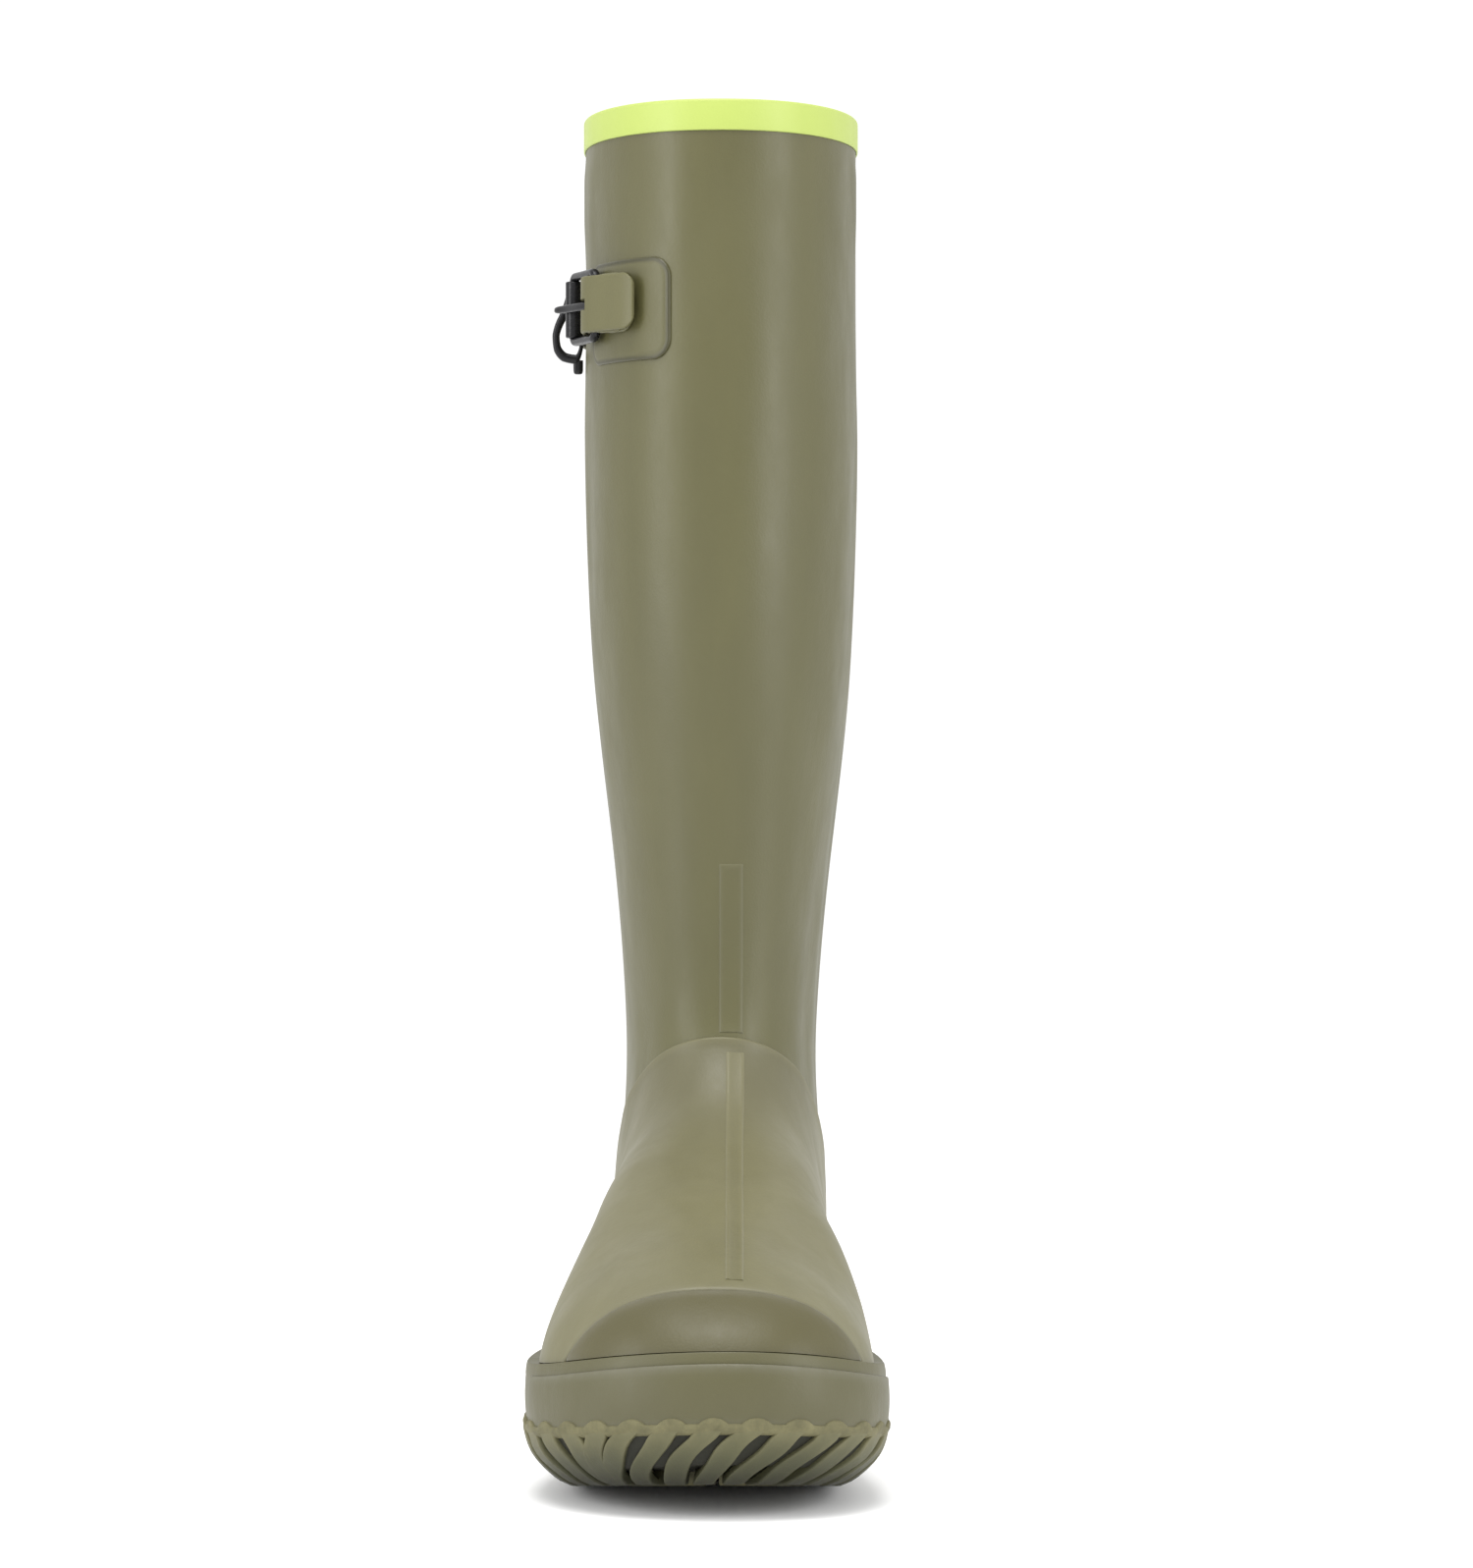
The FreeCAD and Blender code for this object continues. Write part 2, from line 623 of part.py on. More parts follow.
def make_sole():
    gap = GAP
    upper = boot_form(-gap)
    wall = sole_form(0)
    add_solid("foxing_band", wall.common(side_band(foxing_foot, foxing_top)).cut(upper))
    wrap = sole_form(gap + size("BumperWall")).cut(sole_form(gap))
    bumper_low, bumper_high = raised(foxing_foot, BUMPER_MARGIN), raised(foxing_top, -BUMPER_MARGIN)
    add_solid("toe_bumper", wrap.common(side_band(bumper_low, bumper_high, BUMPER_START)))
    plate = size("OutsolePlate")
    rim = size("OutsoleRim")
    cup = sole_form(-rim).common(side_band(raised(tread_base, plate), 60))
    outsole = wall.common(side_band(tread_base, raised(foxing_foot, -gap))).cut(cup).cut(upper)
    add_solid("outsole", outsole)
    doc.recompute()
    shank = make_shank()
    doc.recompute()
    pocket = shank.Shape.makeOffsetShape(gap / 2, 0.001)
    filling = side_band(raised(tread_base, plate + gap), raised(foxing_foot, -gap))
    add_solid("midsole", sole_form(-rim - gap).common(filling).cut(upper).cut(pocket))
    board = size("InsoleBoardWall")
    board_top = raised(insole_line, board)
    add_solid("insole_board", boot_form(lining_end + gap).common(side_band(0, board_top)))
    cavity = boot_form(lining_end + LINING_GAP)
    bed = board + gap
    bed_top = bed + size("FootbedWall")
    bed_band = side_band(raised(insole_line, bed), raised(insole_line, bed_top))
    add_solid("footbed", cavity.common(bed_band))
    cover = bed_top + gap
    cover_top = cover + size("FootbedCoverWall")
    cover_band = side_band(raised(insole_line, cover), raised(insole_line, cover_top))
    add_solid("footbed_cover", cavity.common(cover_band))


# ---------------------------------------------------------------- tread lugs
EDGE_LUGS = 40
LUG_SHARE = 0.68
LUG_SLANT = 0.3
LUG_REACH = 22.0
LUG_OVERHANG = 4.0
ARCH_START = -72.0
ARCH_END = -14.0
CHEVRON_INSET = 25.0
CHEVRON_ROWS = [-114.0, -93.0, 3.0, 24.0, 45.0, 66.0, 87.0, 108.0]
CHEVRON_LENGTH = 11.0
CHEVRON_SLOPE = 0.3
CHEVRON_REACH = 60.0
CHEVRON_MIDDLE = 2.5
CHEVRON_GAP = 2.0
LUG_TOP_GAP = 0.4


def edge_lug_areas():
    """Slanted blocks round the edge of the sole, without those under the arch."""
    outer = closed_curve(outline_points(-LUG_OVERHANG))
    inner = closed_curve(outline_points(LUG_REACH))
    areas = []
    for index in range(EDGE_LUGS):
        start = index / EDGE_LUGS
        end = start + LUG_SHARE / EDGE_LUGS
        slant = LUG_SLANT / EDGE_LUGS
        corners = [outer.value(start), outer.value(end)]
        corners += [inner.value((place + slant) % 1) for place in (end, start)]
        forward = -(corners[0].y + corners[1].y) / 2
        if forward < ARCH_START or forward > ARCH_END:
            areas.append(corners)
    return areas


def chevron_areas():
    """Pairs of slanted bars that meet near the middle of the tread and point to the toe."""
    areas = []
    for row in CHEVRON_ROWS:
        for side in (-1, 1):
            near, far = side * CHEVRON_GAP, side * CHEVRON_REACH
            drop = CHEVRON_SLOPE * CHEVRON_REACH
            front = row + CHEVRON_LENGTH
            corners = [(near, front), (far, front - drop), (far, row - drop), (near, row)]
            areas.append([Vector((CHEVRON_MIDDLE + x) * WIDE, -forward * LONG, 0) for x, forward in corners])
    return areas


def prism(corners, low, high):
    face = Part.Face(Part.makePolygon(corners + corners[:1]))
    face.translate(Vector(0, 0, low))
    return face.extrude(Vector(0, 0, high - low))


def make_lugs():
    """The tread: blocks below the outsole, whose outer ones wrap up its side walls."""
    core = sole_form(GAP).common(side_band(raised(tread_base, -GAP), 60))
    top = raised(foxing_foot, -LUG_TOP_GAP)
    space = sole_form(size("LugWrap")).common(side_band(ground_height, top)).cut(core)
    inside = closed_wire(outline_points(CHEVRON_INSET))
    inner_space = Part.Face(inside).extrude(Vector(0, 0, 60)).common(space)
    heel, forefoot = [], []
    for areas, room in ((edge_lug_areas(), space), (chevron_areas(), inner_space)):
        for corners in areas:
            lugs = prism(corners, -1, 60).common(room).Solids
            for lug in lugs:
                group = heel if -lug.CenterOfMass.y < (ARCH_START + ARCH_END) / 2 else forefoot
                group.append(lug)
    add_solid("forefoot_lugs", Part.makeCompound(forefoot))
    add_solid("heel_lugs", Part.makeCompound(heel))


# ---------------------------------------------------------------- strap and patches
PATCH_WALL = 1.1
PATCH_LOW = 370.5
PATCH_HIGH = 405.0
PATCH_CORNER = 7.0
FRONT_PATCH = (25.0, 71.0)
REAR_PATCH = (-70.0, -32.0)
PATCH_DEPTH = 25.0
HINGE_ANGLE = 36.0
ROLLER_ANGLE = 16.3
LIE = 0.25
RIBBON_STEPS = 6
chape_wall = size("ChapeWall")
strap_wall = size("StrapWall")
bar = size("BarRadius")
strap_middle = size("StrapHeight")
patch_top = GAP + PATCH_WALL
# Heights of the strap layers above the shaft, each to its own middle.
chape_under = patch_top + LIE + chape_wall / 2
chape_over = chape_under + chape_wall + GAP
tail_over = chape_over + (chape_wall + strap_wall) / 2 + GAP
hinge_height = chape_under + chape_wall / 2 + GAP + bar
chape_bend = bar + GAP + chape_wall / 2
strap_bend = chape_bend + (chape_wall + strap_wall) / 2 + GAP
strap_on_patch = patch_top + LIE + strap_wall / 2
UNDER_ROLLER = 2.0
UNDER_KEEPER = 2.6

hinge = shaft_point(HINGE_ANGLE, hinge_height)
rearward = unit(shaft_point(ROLLER_ANGLE, 0) - shaft_point(HINGE_ANGLE, 0))
outward = Vector(-rearward.y, rearward.x, 0)
buckle_turn = math.degrees(math.atan2(rearward.y, rearward.x))


def from_hinge(along, out):
    """A plan point measured from the buckle's hinge, rearward along the strap and outward."""
    return hinge + rearward * along + outward * out


def round_hinge(radius, angle):
    """A plan point at a distance from the hinge, at an angle from rearward towards outward."""
    turn = math.radians(angle)
    return from_hinge(radius * math.cos(turn), radius * math.sin(turn))


# The chape: from its end on the patch, under the hinge bar, round it and back over itself.
CHAPE_ENDS = (58.0, 54.5, 51.0, 47.5, 44.0, 40.4)
CHAPE_RISE = [(42.0, 1.55), (46.4, 0.65), (50.2, 0.1), (52.8, 0.0), (55.4, 0.0)]
CHAPE_WRAP = (-90, -45, 0, 45, 90, 118)
chape_line = [shaft_point(angle, chape_under) for angle in CHAPE_ENDS]
chape_line += [round_hinge(chape_bend, angle) for angle in CHAPE_WRAP]
chape_line += [shaft_point(angle, chape_over + rise) for angle, rise in CHAPE_RISE]

# The strap: from the rear patch, through the keeper and under the roller, up through the frame,
# over the hinge bar and down onto the chape.
STRAP_REAR = (-67.0, -57.0, -47.0, -36.0)
STRAP_SIDE = (-24.0, -14.0, -6.0)
STRAP_TAIL_RISE = [(42.6, 1.75), (47.0, 0.8), (51.2, 0.25), (54.6, 0.1), (58.0, 0.1)]
KEEPER_ANGLE = 1.5
strap_line = [shaft_point(angle, strap_on_patch) for angle in STRAP_REAR]
strap_line += [shaft_point(angle, UNDER_KEEPER) for angle in STRAP_SIDE]
strap_line += [shaft_point(angle, UNDER_KEEPER) for angle in (KEEPER_ANGLE, 8.0)]
strap_line.append(shaft_point(ROLLER_ANGLE - 2.4, UNDER_KEEPER - 0.05))
strap_line += [from_hinge(20.6, UNDER_ROLLER - hinge_height), from_hinge(10.5, 0.85)]
strap_line += [from_hinge(4.5, strap_bend - 0.9), round_hinge(strap_bend, 92)]
strap_line += [shaft_point(angle, tail_over + rise) for angle, rise in STRAP_TAIL_RISE]

SLOT_MARGIN = 0.4
EYE_SLOT = (-4.6, 4.2)
TONGUE_SLOT = (-2.8, 15.0)
TAPER_START = 8.0
TAPER_END = 3.0
TAPER_REACH = 20.0


def ribbon_geometry(points, wall):
    """The outline, in plan view, of a strip of the given wall along a smooth middle line."""
    middle = open_curve(points)
    count = RIBBON_STEPS * len(points)
    sides = ([], [])
    for step in range(count + 1):
        place = middle.FirstParameter + (middle.LastParameter - middle.FirstParameter) * step / count
        point, tangent = middle.value(place), middle.tangent(place)[0]
        normal = Vector(-tangent.y, tangent.x, 0) * (wall / 2)
        sides[0].append(point + normal)
        sides[1].append(point - normal)
    ends = [Part.LineSegment(sides[0][index], sides[1][index]) for index in (0, -1)]
    return [open_curve(sides[0]), open_curve(sides[1])] + ends


def strip_body(name, points, wall, width):
    """A strap standing on edge round the shaft: its plan outline padded to its width."""
    body, sketch = body_with_sketch(name, "XY_Plane")
    for item in ribbon_geometry(points, wall):
        sketch.addGeometry(item, False)
    pad(body, sketch, width, both_ways=True)
    body.Placement = Placement(Vector(0, 0, strap_middle), Rotation())
    return body


def buckle_box(name, along, out, half_height):
    """A box lined up with the buckle, for the slots that its prong passes through."""
    item = doc.addObject("Part::Box", name)
    item.Length = along[1] - along[0]
    item.Width = out[1] - out[0]
    item.Height = 2 * half_height
    corner = from_hinge(along[0], out[0]) + Vector(0, 0, strap_middle - half_height)
    item.Placement = Placement(corner, Rotation(Vector(0, 0, 1), buckle_turn))
    return item


def cut(name, base, tool):
    item = doc.addObject("Part::Cut", name)
    item.Base = base
    item.Tool = tool
    return item


def make_strap():
    slot_half = size("ProngWidth") / 2 + SLOT_MARGIN
    depth = size("EyeRadius") + 2 * bar
    chape = strip_body("chape_strip", chape_line, chape_wall, "ChapeWidth")
    eye_slot = buckle_box("eye_slot", EYE_SLOT, (-depth, depth), slot_half)
    slotted = cut("slotted_chape", chape, eye_slot)
    # The chape narrows to the strap's width where the frame's rails pass it.
    excess = doc.addObject("Part::Feature", "chape_taper")
    excess.Shape = taper_wedges(size("StrapWidth") / 2, size("ChapeWidth") / 2)
    keep(cut("tapered_chape", slotted, excess), "buckle_chape")
    strap = strip_body("strap_strip", strap_line, strap_wall, "StrapWidth")
    tongue_slot = buckle_box("tongue_slot", TONGUE_SLOT, (-2 * depth, 2 * depth), slot_half)
    keep(cut("slotted_strap", strap, tongue_slot), "adjusting_strap")


def taper_wedges(narrow, wide):
    """The two wedges to cut off a strip so that it narrows as it nears the hinge."""
    wedges = []
    for side in (-1, 1):
        outline = [(-TAPER_START, wide), (-TAPER_START, 2 * wide), (TAPER_REACH, 2 * wide),
                   (TAPER_REACH, narrow), (-TAPER_END, narrow)]
        corners = []
        for along, up in outline:
            corners.append(from_hinge(along, -TAPER_REACH) + Vector(0, 0, strap_middle + side * up))
        face = Part.Face(Part.makePolygon(corners + corners[:1]))
        wedges.append(face.extrude(outward * (2 * TAPER_REACH)))
    return Part.makeCompound(wedges)


def patch_area(start, end):
    """A round-cornered block that reaches through the shaft's wall between two angles."""
    middle = (start + end) / 2
    place, out = shaft_point(middle, 0), shaft_normal(middle)
    along = Vector(0, 0, 1).cross(out)
    reach = sorted((shaft_point(angle, 0) - place).dot(along) for angle in (start, end))
    low = place + Vector(0, 0, PATCH_LOW) - out * PATCH_DEPTH
    block = Part.makeBox(reach[1] - reach[0], PATCH_HIGH - PATCH_LOW, 1.6 * PATCH_DEPTH)
    upright = [edge for edge in block.Edges if abs(edge.tangentAt(edge.FirstParameter).z) > 0.9]
    block = block.makeFillet(PATCH_CORNER, upright)
    block.Placement = Placement(low + along * reach[0], Rotation(along, Vector(0, 0, 1), out, "ZXY"))
    return block


def make_patches():
    for name, angles in (("front_strap_patch", FRONT_PATCH), ("rear_strap_patch", REAR_PATCH)):
        add_solid(name, overlay(patch_area(*angles), GAP, PATCH_WALL))


# ---------------------------------------------------------------- the buckle
RAIL_END = 2.3
PRONG_OUTLINE = [(0.0, -1.3), (21.0, 4.85), (25.5, 5.95), (26.7, 6.9), (26.1, 7.8), (22.0, 7.35), (0.0, 1.7)]
# The keeper's loop across the strap: distance out from the shaft, height from the strap's middle.
KEEPER_OUTSIDE = [(0.3, 12.0), (4.4, 12.0), (6.2, 9.6), (8.0, 2.0), (11.2, -3.5), (11.7, -9.5), (10.2, -14.6),
                  (6.0, -16.5), (0.3, -16.5)]
KEEPER_INSIDE = [(1.45, 10.1), (3.7, 10.1), (4.5, 8.2), (5.9, 0.6), (9.1, -4.8), (9.4, -9.0), (8.2, -12.4),
                 (5.4, -13.6), (1.45, -13.6)]
KEEPER_TAB = [(1.0, -16.5), (1.0, -20.2), (4.4, -20.2), (4.4, -16.5)]


def closed_lines(sketch, corners):
    """A closed outline of straight lines in a sketch."""
    points = [Vector(along, across_strip, 0) for along, across_strip in corners]
    for first, second in zip(points, points[1:] + points[:1]):
        sketch.addGeometry(Part.LineSegment(first, second), False)


def circle(sketch, middle, radius):
    sketch.addGeometry(Part.Circle(Vector(*middle, 0), Vector(0, 0, 1), radius), False)


def buckle_placement(height=0.0):
    return Placement(hinge + Vector(0, 0, strap_middle + height), Rotation(Vector(0, 0, 1), buckle_turn))


def make_frame():
    """Two side rails joined by the hinge bar and by the bar that the roller turns on."""
    length = size("FrameLength")
    rise = size("RollerRise")
    half = size("FrameHeight") / 2
    wall = size("RailWall")
    front, back = -RAIL_END, length + RAIL_END
    rail = [(front, -bar), (back, rise - bar), (back, rise + bar), (front, bar)]
    body = doc.addObject("PartDesign::Body", "buckle_frame")
    for name, level in (("low", -half), ("high", half - wall)):
        sketch = sketch_on(body, "XY_Plane", level)
        closed_lines(sketch, rail)
        if name == "low":
            pad(body, sketch, "RailWall")
            bars = sketch_on(body, "XY_Plane", -half)
            circle(bars, (0, 0), bar)
            circle(bars, (length, rise), bar)
            pad(body, bars, "FrameHeight")
        else:
            pad(body, sketch, "RailWall")
    body.Placement = buckle_placement()
    return keep(body, "buckle_frame")


def make_roller():
    body, sketch = body_with_sketch("buckle_roller", "XY_Plane")
    circle(sketch, (0, 0), size("RollerRadius"))
    circle(sketch, (0, 0), size("RollerBore"))
    pad(body, sketch, "RollerLength", both_ways=True)
    middle = from_hinge(size("FrameLength"), size("RollerRise"))
    body.Placement = Placement(middle + Vector(0, 0, strap_middle), Rotation())
    return keep(body, "buckle_roller")


def make_prong():
    """The pin: an eye round the hinge bar and a tapered tongue that rests on the roller."""
    body, sketch = body_with_sketch("buckle_prong", "XY_Plane")
    closed_lines(sketch, PRONG_OUTLINE)
    pad(body, sketch, "ProngWidth", both_ways=True)
    eye = sketch_on(body, "XY_Plane")
    circle(eye, (0, 0), size("EyeRadius"))
    pad(body, eye, "ProngWidth", both_ways=True)
    bore = sketch_on(body, "XY_Plane")
    circle(bore, (0, 0), size("EyeBore"))
    doc.recompute()
    pocket = body.newObject("PartDesign::Pocket", "prong_bore")
    pocket.Profile = bore
    pocket.Type = "ThroughAll"
    pocket.Midplane = True
    body.Tip = pocket
    body.Placement = buckle_placement()
    return keep(body, "buckle_prong")


def make_keeper():
    """The loop behind the buckle that holds the strap down, with its tab below."""
    body, sketch = body_with_sketch("strap_keeper", "XY_Plane")
    closed_lines(sketch, KEEPER_OUTSIDE)
    closed_lines(sketch, KEEPER_INSIDE)
    pad(body, sketch, "KeeperDepth", both_ways=True)
    tab = sketch_on(body, "XY_Plane")
    closed_lines(tab, KEEPER_TAB)
    pad(body, tab, "KeeperDepth", both_ways=True)
    out = shaft_normal(KEEPER_ANGLE)
    place = shaft_point(KEEPER_ANGLE, 0) + Vector(0, 0, strap_middle)
    body.Placement = Placement(place, Rotation(out, Vector(0, 0, 1), out.cross(Vector(0, 0, 1)), "XYZ"))
    return keep(body, "strap_keeper")


# ---------------------------------------------------------------- checks and files
def check_document():
    """Stops if an object failed, or if a piece is missing, broken or left empty."""
    for item in doc.Objects:
        if "Invalid" in item.State or "Error" in item.State:
            raise RuntimeError(f"{item.Name} failed: {item.State}")
    for item in nodes:
        if item.Shape.isNull() or not item.Shape.isValid() or not item.Shape.Solids:
            raise RuntimeError(f"{item.Label} has no valid solid")


def write_parts():
    for item in nodes:
        item.Shape.exportStep(f"parts/{item.Label}.step")


MAKERS = (make_shell, make_binding, make_overlays, make_sole, make_lugs, make_patches, make_strap, make_frame,
          make_roller, make_prong, make_keeper)
for maker in MAKERS:
    maker()
doc.recompute()
check_document()
write_parts()
for item in nodes:
    print(f"{item.Label}: {len(item.Shape.Solids)} solid(s), {item.Shape.Volume / 1000:.2f} cm3")
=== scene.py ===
"""The looks of a tall insulated rubber hunting boot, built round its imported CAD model.

The axes are the frame's: +Z up, the toe along -Y, the outer side of the foot at -X. The shapes are
worked out in millimetres, and become metres in the frame when a mesh is made. In the tables
"forward" is the distance in front of the origin, so y = -forward.
"""

import json
import math

import bmesh
import bpy
import numpy as np
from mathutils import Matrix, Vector
from mathutils.bvhtree import BVHTree


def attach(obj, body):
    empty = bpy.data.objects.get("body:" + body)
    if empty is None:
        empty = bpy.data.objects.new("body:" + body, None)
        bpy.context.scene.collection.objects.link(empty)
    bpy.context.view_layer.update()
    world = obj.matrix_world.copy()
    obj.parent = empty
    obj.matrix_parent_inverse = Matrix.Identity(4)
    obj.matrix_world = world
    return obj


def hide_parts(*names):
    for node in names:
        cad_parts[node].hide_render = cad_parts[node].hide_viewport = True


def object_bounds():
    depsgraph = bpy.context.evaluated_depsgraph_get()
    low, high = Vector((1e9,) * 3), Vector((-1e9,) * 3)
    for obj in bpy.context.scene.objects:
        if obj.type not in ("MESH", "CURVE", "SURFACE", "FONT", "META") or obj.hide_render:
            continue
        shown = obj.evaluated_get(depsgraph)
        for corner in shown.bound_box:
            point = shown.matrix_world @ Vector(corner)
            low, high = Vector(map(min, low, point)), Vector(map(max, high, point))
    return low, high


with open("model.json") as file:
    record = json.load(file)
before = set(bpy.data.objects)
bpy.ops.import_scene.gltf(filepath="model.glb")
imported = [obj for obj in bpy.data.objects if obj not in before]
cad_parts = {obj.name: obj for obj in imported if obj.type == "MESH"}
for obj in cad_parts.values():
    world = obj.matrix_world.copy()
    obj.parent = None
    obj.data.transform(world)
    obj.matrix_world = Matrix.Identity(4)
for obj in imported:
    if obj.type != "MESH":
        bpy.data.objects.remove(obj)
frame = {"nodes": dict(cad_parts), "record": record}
cad_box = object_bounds()

# ---------------------------------------------------------------- the boot's outer surface
NOMINAL_SIZE = np.array([116.245, 300.89, 457.0])
TO_FRAME = np.array(cad_box[1] - cad_box[0]) / NOMINAL_SIZE
RIM = 457.0
# Sections from the rim down the shaft, round the heel and along the foot to the toe. Columns:
# forward and height of the front (or top) point, forward and height of the back (or bottom) point,
# the outer and inner side, how far down it is widest, and how square its two halves are.
SECTIONS = np.array([
    (5.0, 457.0, -149.0, 457.0, -42.1, 51.3, 0.50, 2.15, 2.15),
    (5.0, 422.0, -149.0, 422.0, -42.1, 51.3, 0.50, 2.15, 2.15),
    (5.0, 386.0, -149.0, 386.0, -42.1, 51.3, 0.50, 2.15, 2.15),
    (4.8, 350.0, -149.0, 350.0, -42.4, 51.6, 0.50, 2.15, 2.15),
    (3.0, 305.0, -148.5, 305.0, -41.6, 50.8, 0.50, 2.12, 2.15),
    (-2.0, 264.0, -147.0, 264.0, -39.6, 48.8, 0.50, 2.10, 2.15),
    (-9.0, 226.0, -144.5, 226.0, -35.6, 44.8, 0.50, 2.10, 2.15),
    (-14.5, 192.0, -141.5, 190.0, -31.6, 40.8, 0.50, 2.10, 2.15),
    (-18.0, 163.0, -139.0, 155.0, -29.0, 38.2, 0.50, 2.10, 2.15),
    (-16.0, 143.0, -138.0, 120.0, -28.2, 37.4, 0.52, 2.10, 2.20),
    (-7.5, 128.5, -140.5, 86.0, -29.6, 38.8, 0.56, 2.20, 2.30),
    (3.0, 118.5, -143.0, 54.0, -31.6, 39.8, 0.62, 2.60, 2.50),
    (14.0, 111.5, -138.0, 28.0, -33.8, 40.2, 0.68, 3.40, 3.00),
    (26.0, 105.5, -98.0, 20.0, -35.8, 40.6, 0.72, 4.20, 3.60),
    (38.0, 100.0, -45.0, 19.5, -38.6, 42.0, 0.74, 4.10, 4.20),
    (51.0, 94.8, 10.0, 18.5, -43.6, 47.4, 0.75, 3.30, 4.50),
    (66.0, 89.3, 52.0, 17.5, -49.8, 52.2, 0.75, 2.50, 4.50),
    (84.0, 83.3, 80.0, 18.0, -52.6, 53.4, 0.74, 2.15, 4.50),
    (101.0, 77.8, 101.0, 19.5, -49.6, 52.4, 0.72, 2.15, 4.20),
    (117.0, 72.0, 118.0, 22.0, -41.2, 47.4, 0.70, 2.30, 3.80),
    (130.0, 65.0, 132.0, 25.0, -31.0, 39.5, 0.66, 2.40, 3.40),
    (139.0, 57.5, 141.0, 28.0, -18.5, 29.5, 0.60, 2.40, 3.00),
    (144.5, 48.0, 145.0, 33.0, -5.5, 18.5, 0.50, 2.30, 2.60),
])
STEEPEST = 3.0
TIP_MARGIN = 2.5
TIP_SHRINK = 0.3
FINE_STEPS = 720
UP = np.array([0.0, 0.0, 1.0])


def unit(vectors):
    """Vectors scaled to length one."""
    return vectors / np.maximum(np.linalg.norm(vectors, axis=-1, keepdims=True), 1e-9)


def full_turn(count):
    """Angles evenly spaced round a full turn."""
    return 2 * np.pi * np.arange(count) / count


def squared_circle(turn, exponent):
    """Points (x, y) of a circle of radius one at turns, squared off by an exponent below one."""
    waves = np.stack([np.cos(turn), np.sin(turn)], axis=-1)
    return np.sign(waves) * np.abs(waves) ** exponent


def in_space(flat):
    """Plan points (x, y) as points at height 0."""
    return np.concatenate([flat, np.zeros(flat.shape[:-1] + (1,))], axis=-1)


def smooth_step(low, high, values):
    """0 below low, 1 above high, and a smooth rise between them."""
    part = np.clip((values - low) / (high - low), 0, 1)
    return part * part * (3 - 2 * part)


def ridge(size, place, width, distance):
    """A rounded ridge, or a groove where size is negative, read at distances."""
    return size * np.exp(-((distance - place) / width) ** 2)


def rounding(distance, radius):
    """How much a face rounded off to a radius has risen, 0 to 1, at distances from its edge."""
    near = 1 - np.clip(distance / radius, 0, 1)
    return np.sqrt(np.clip(1 - near ** 2, 0, 1))


def spline(stations, values, wanted):
    """The smooth curve through values at stations, read at the wanted places."""
    gaps = np.diff(stations)
    wide = gaps.reshape(-1, *[1] * (values.ndim - 1))
    slopes = np.diff(values, axis=0) / wide
    count = len(stations)
    system = np.zeros((count, count))
    target = np.zeros_like(values)
    for i in range(1, count - 1):
        system[i, i - 1:i + 2] = gaps[i], 2 * (gaps[i - 1] + gaps[i]), gaps[i - 1]
        target[i] = 3 * (gaps[i] * slopes[i - 1] + gaps[i - 1] * slopes[i])
    system[0, 0] = system[-1, -1] = 1
    target[0] = slopes[0] - gaps[0] * (slopes[1] - slopes[0]) / (gaps[0] + gaps[1])
    target[-1] = slopes[-1] + gaps[-1] * (slopes[-1] - slopes[-2]) / (gaps[-1] + gaps[-2])
    tangents = np.linalg.solve(system, target.reshape(count, -1)).reshape(values.shape)
    index = np.clip(np.searchsorted(stations, wanted, side="right") - 1, 0, count - 2)
    part = ((wanted - stations[index]) / gaps[index]).reshape(-1, *[1] * (values.ndim - 1))
    gap = wide[index]
    return (values[index] * (1 + 2 * part) * (1 - part) ** 2 + tangents[index] * gap * part * (1 - part) ** 2
            + values[index + 1] * part ** 2 * (3 - 2 * part)
            + tangents[index + 1] * gap * part ** 2 * (part - 1))


def smooth_line(points, count):
    """Points along the smooth open curve through the given ones."""
    points = np.array(points, float)
    stations = travelled(points)
    return spline(stations, points, np.linspace(0, stations[-1], count))


def closed_line(points, places):
    """The smooth closed curve through points, read at places from 0 to 1 round it."""
    points = np.array(points, float)
    count = len(points)
    return spline(np.arange(3 * count), np.tile(points, (3, 1)), (np.asarray(places) % 1 + 1) * count)


def travelled(points):
    """The distance travelled along a line of points, at each of them."""
    steps = np.linalg.norm(np.diff(points, axis=0), axis=-1)
    return np.concatenate([[0], np.cumsum(steps)])


def resample(points, shares):
    """Points at the given shares of the length of a line of points."""
    distance = travelled(points)
    return np.column_stack([np.interp(shares * distance[-1], distance, column) for column in points.T])


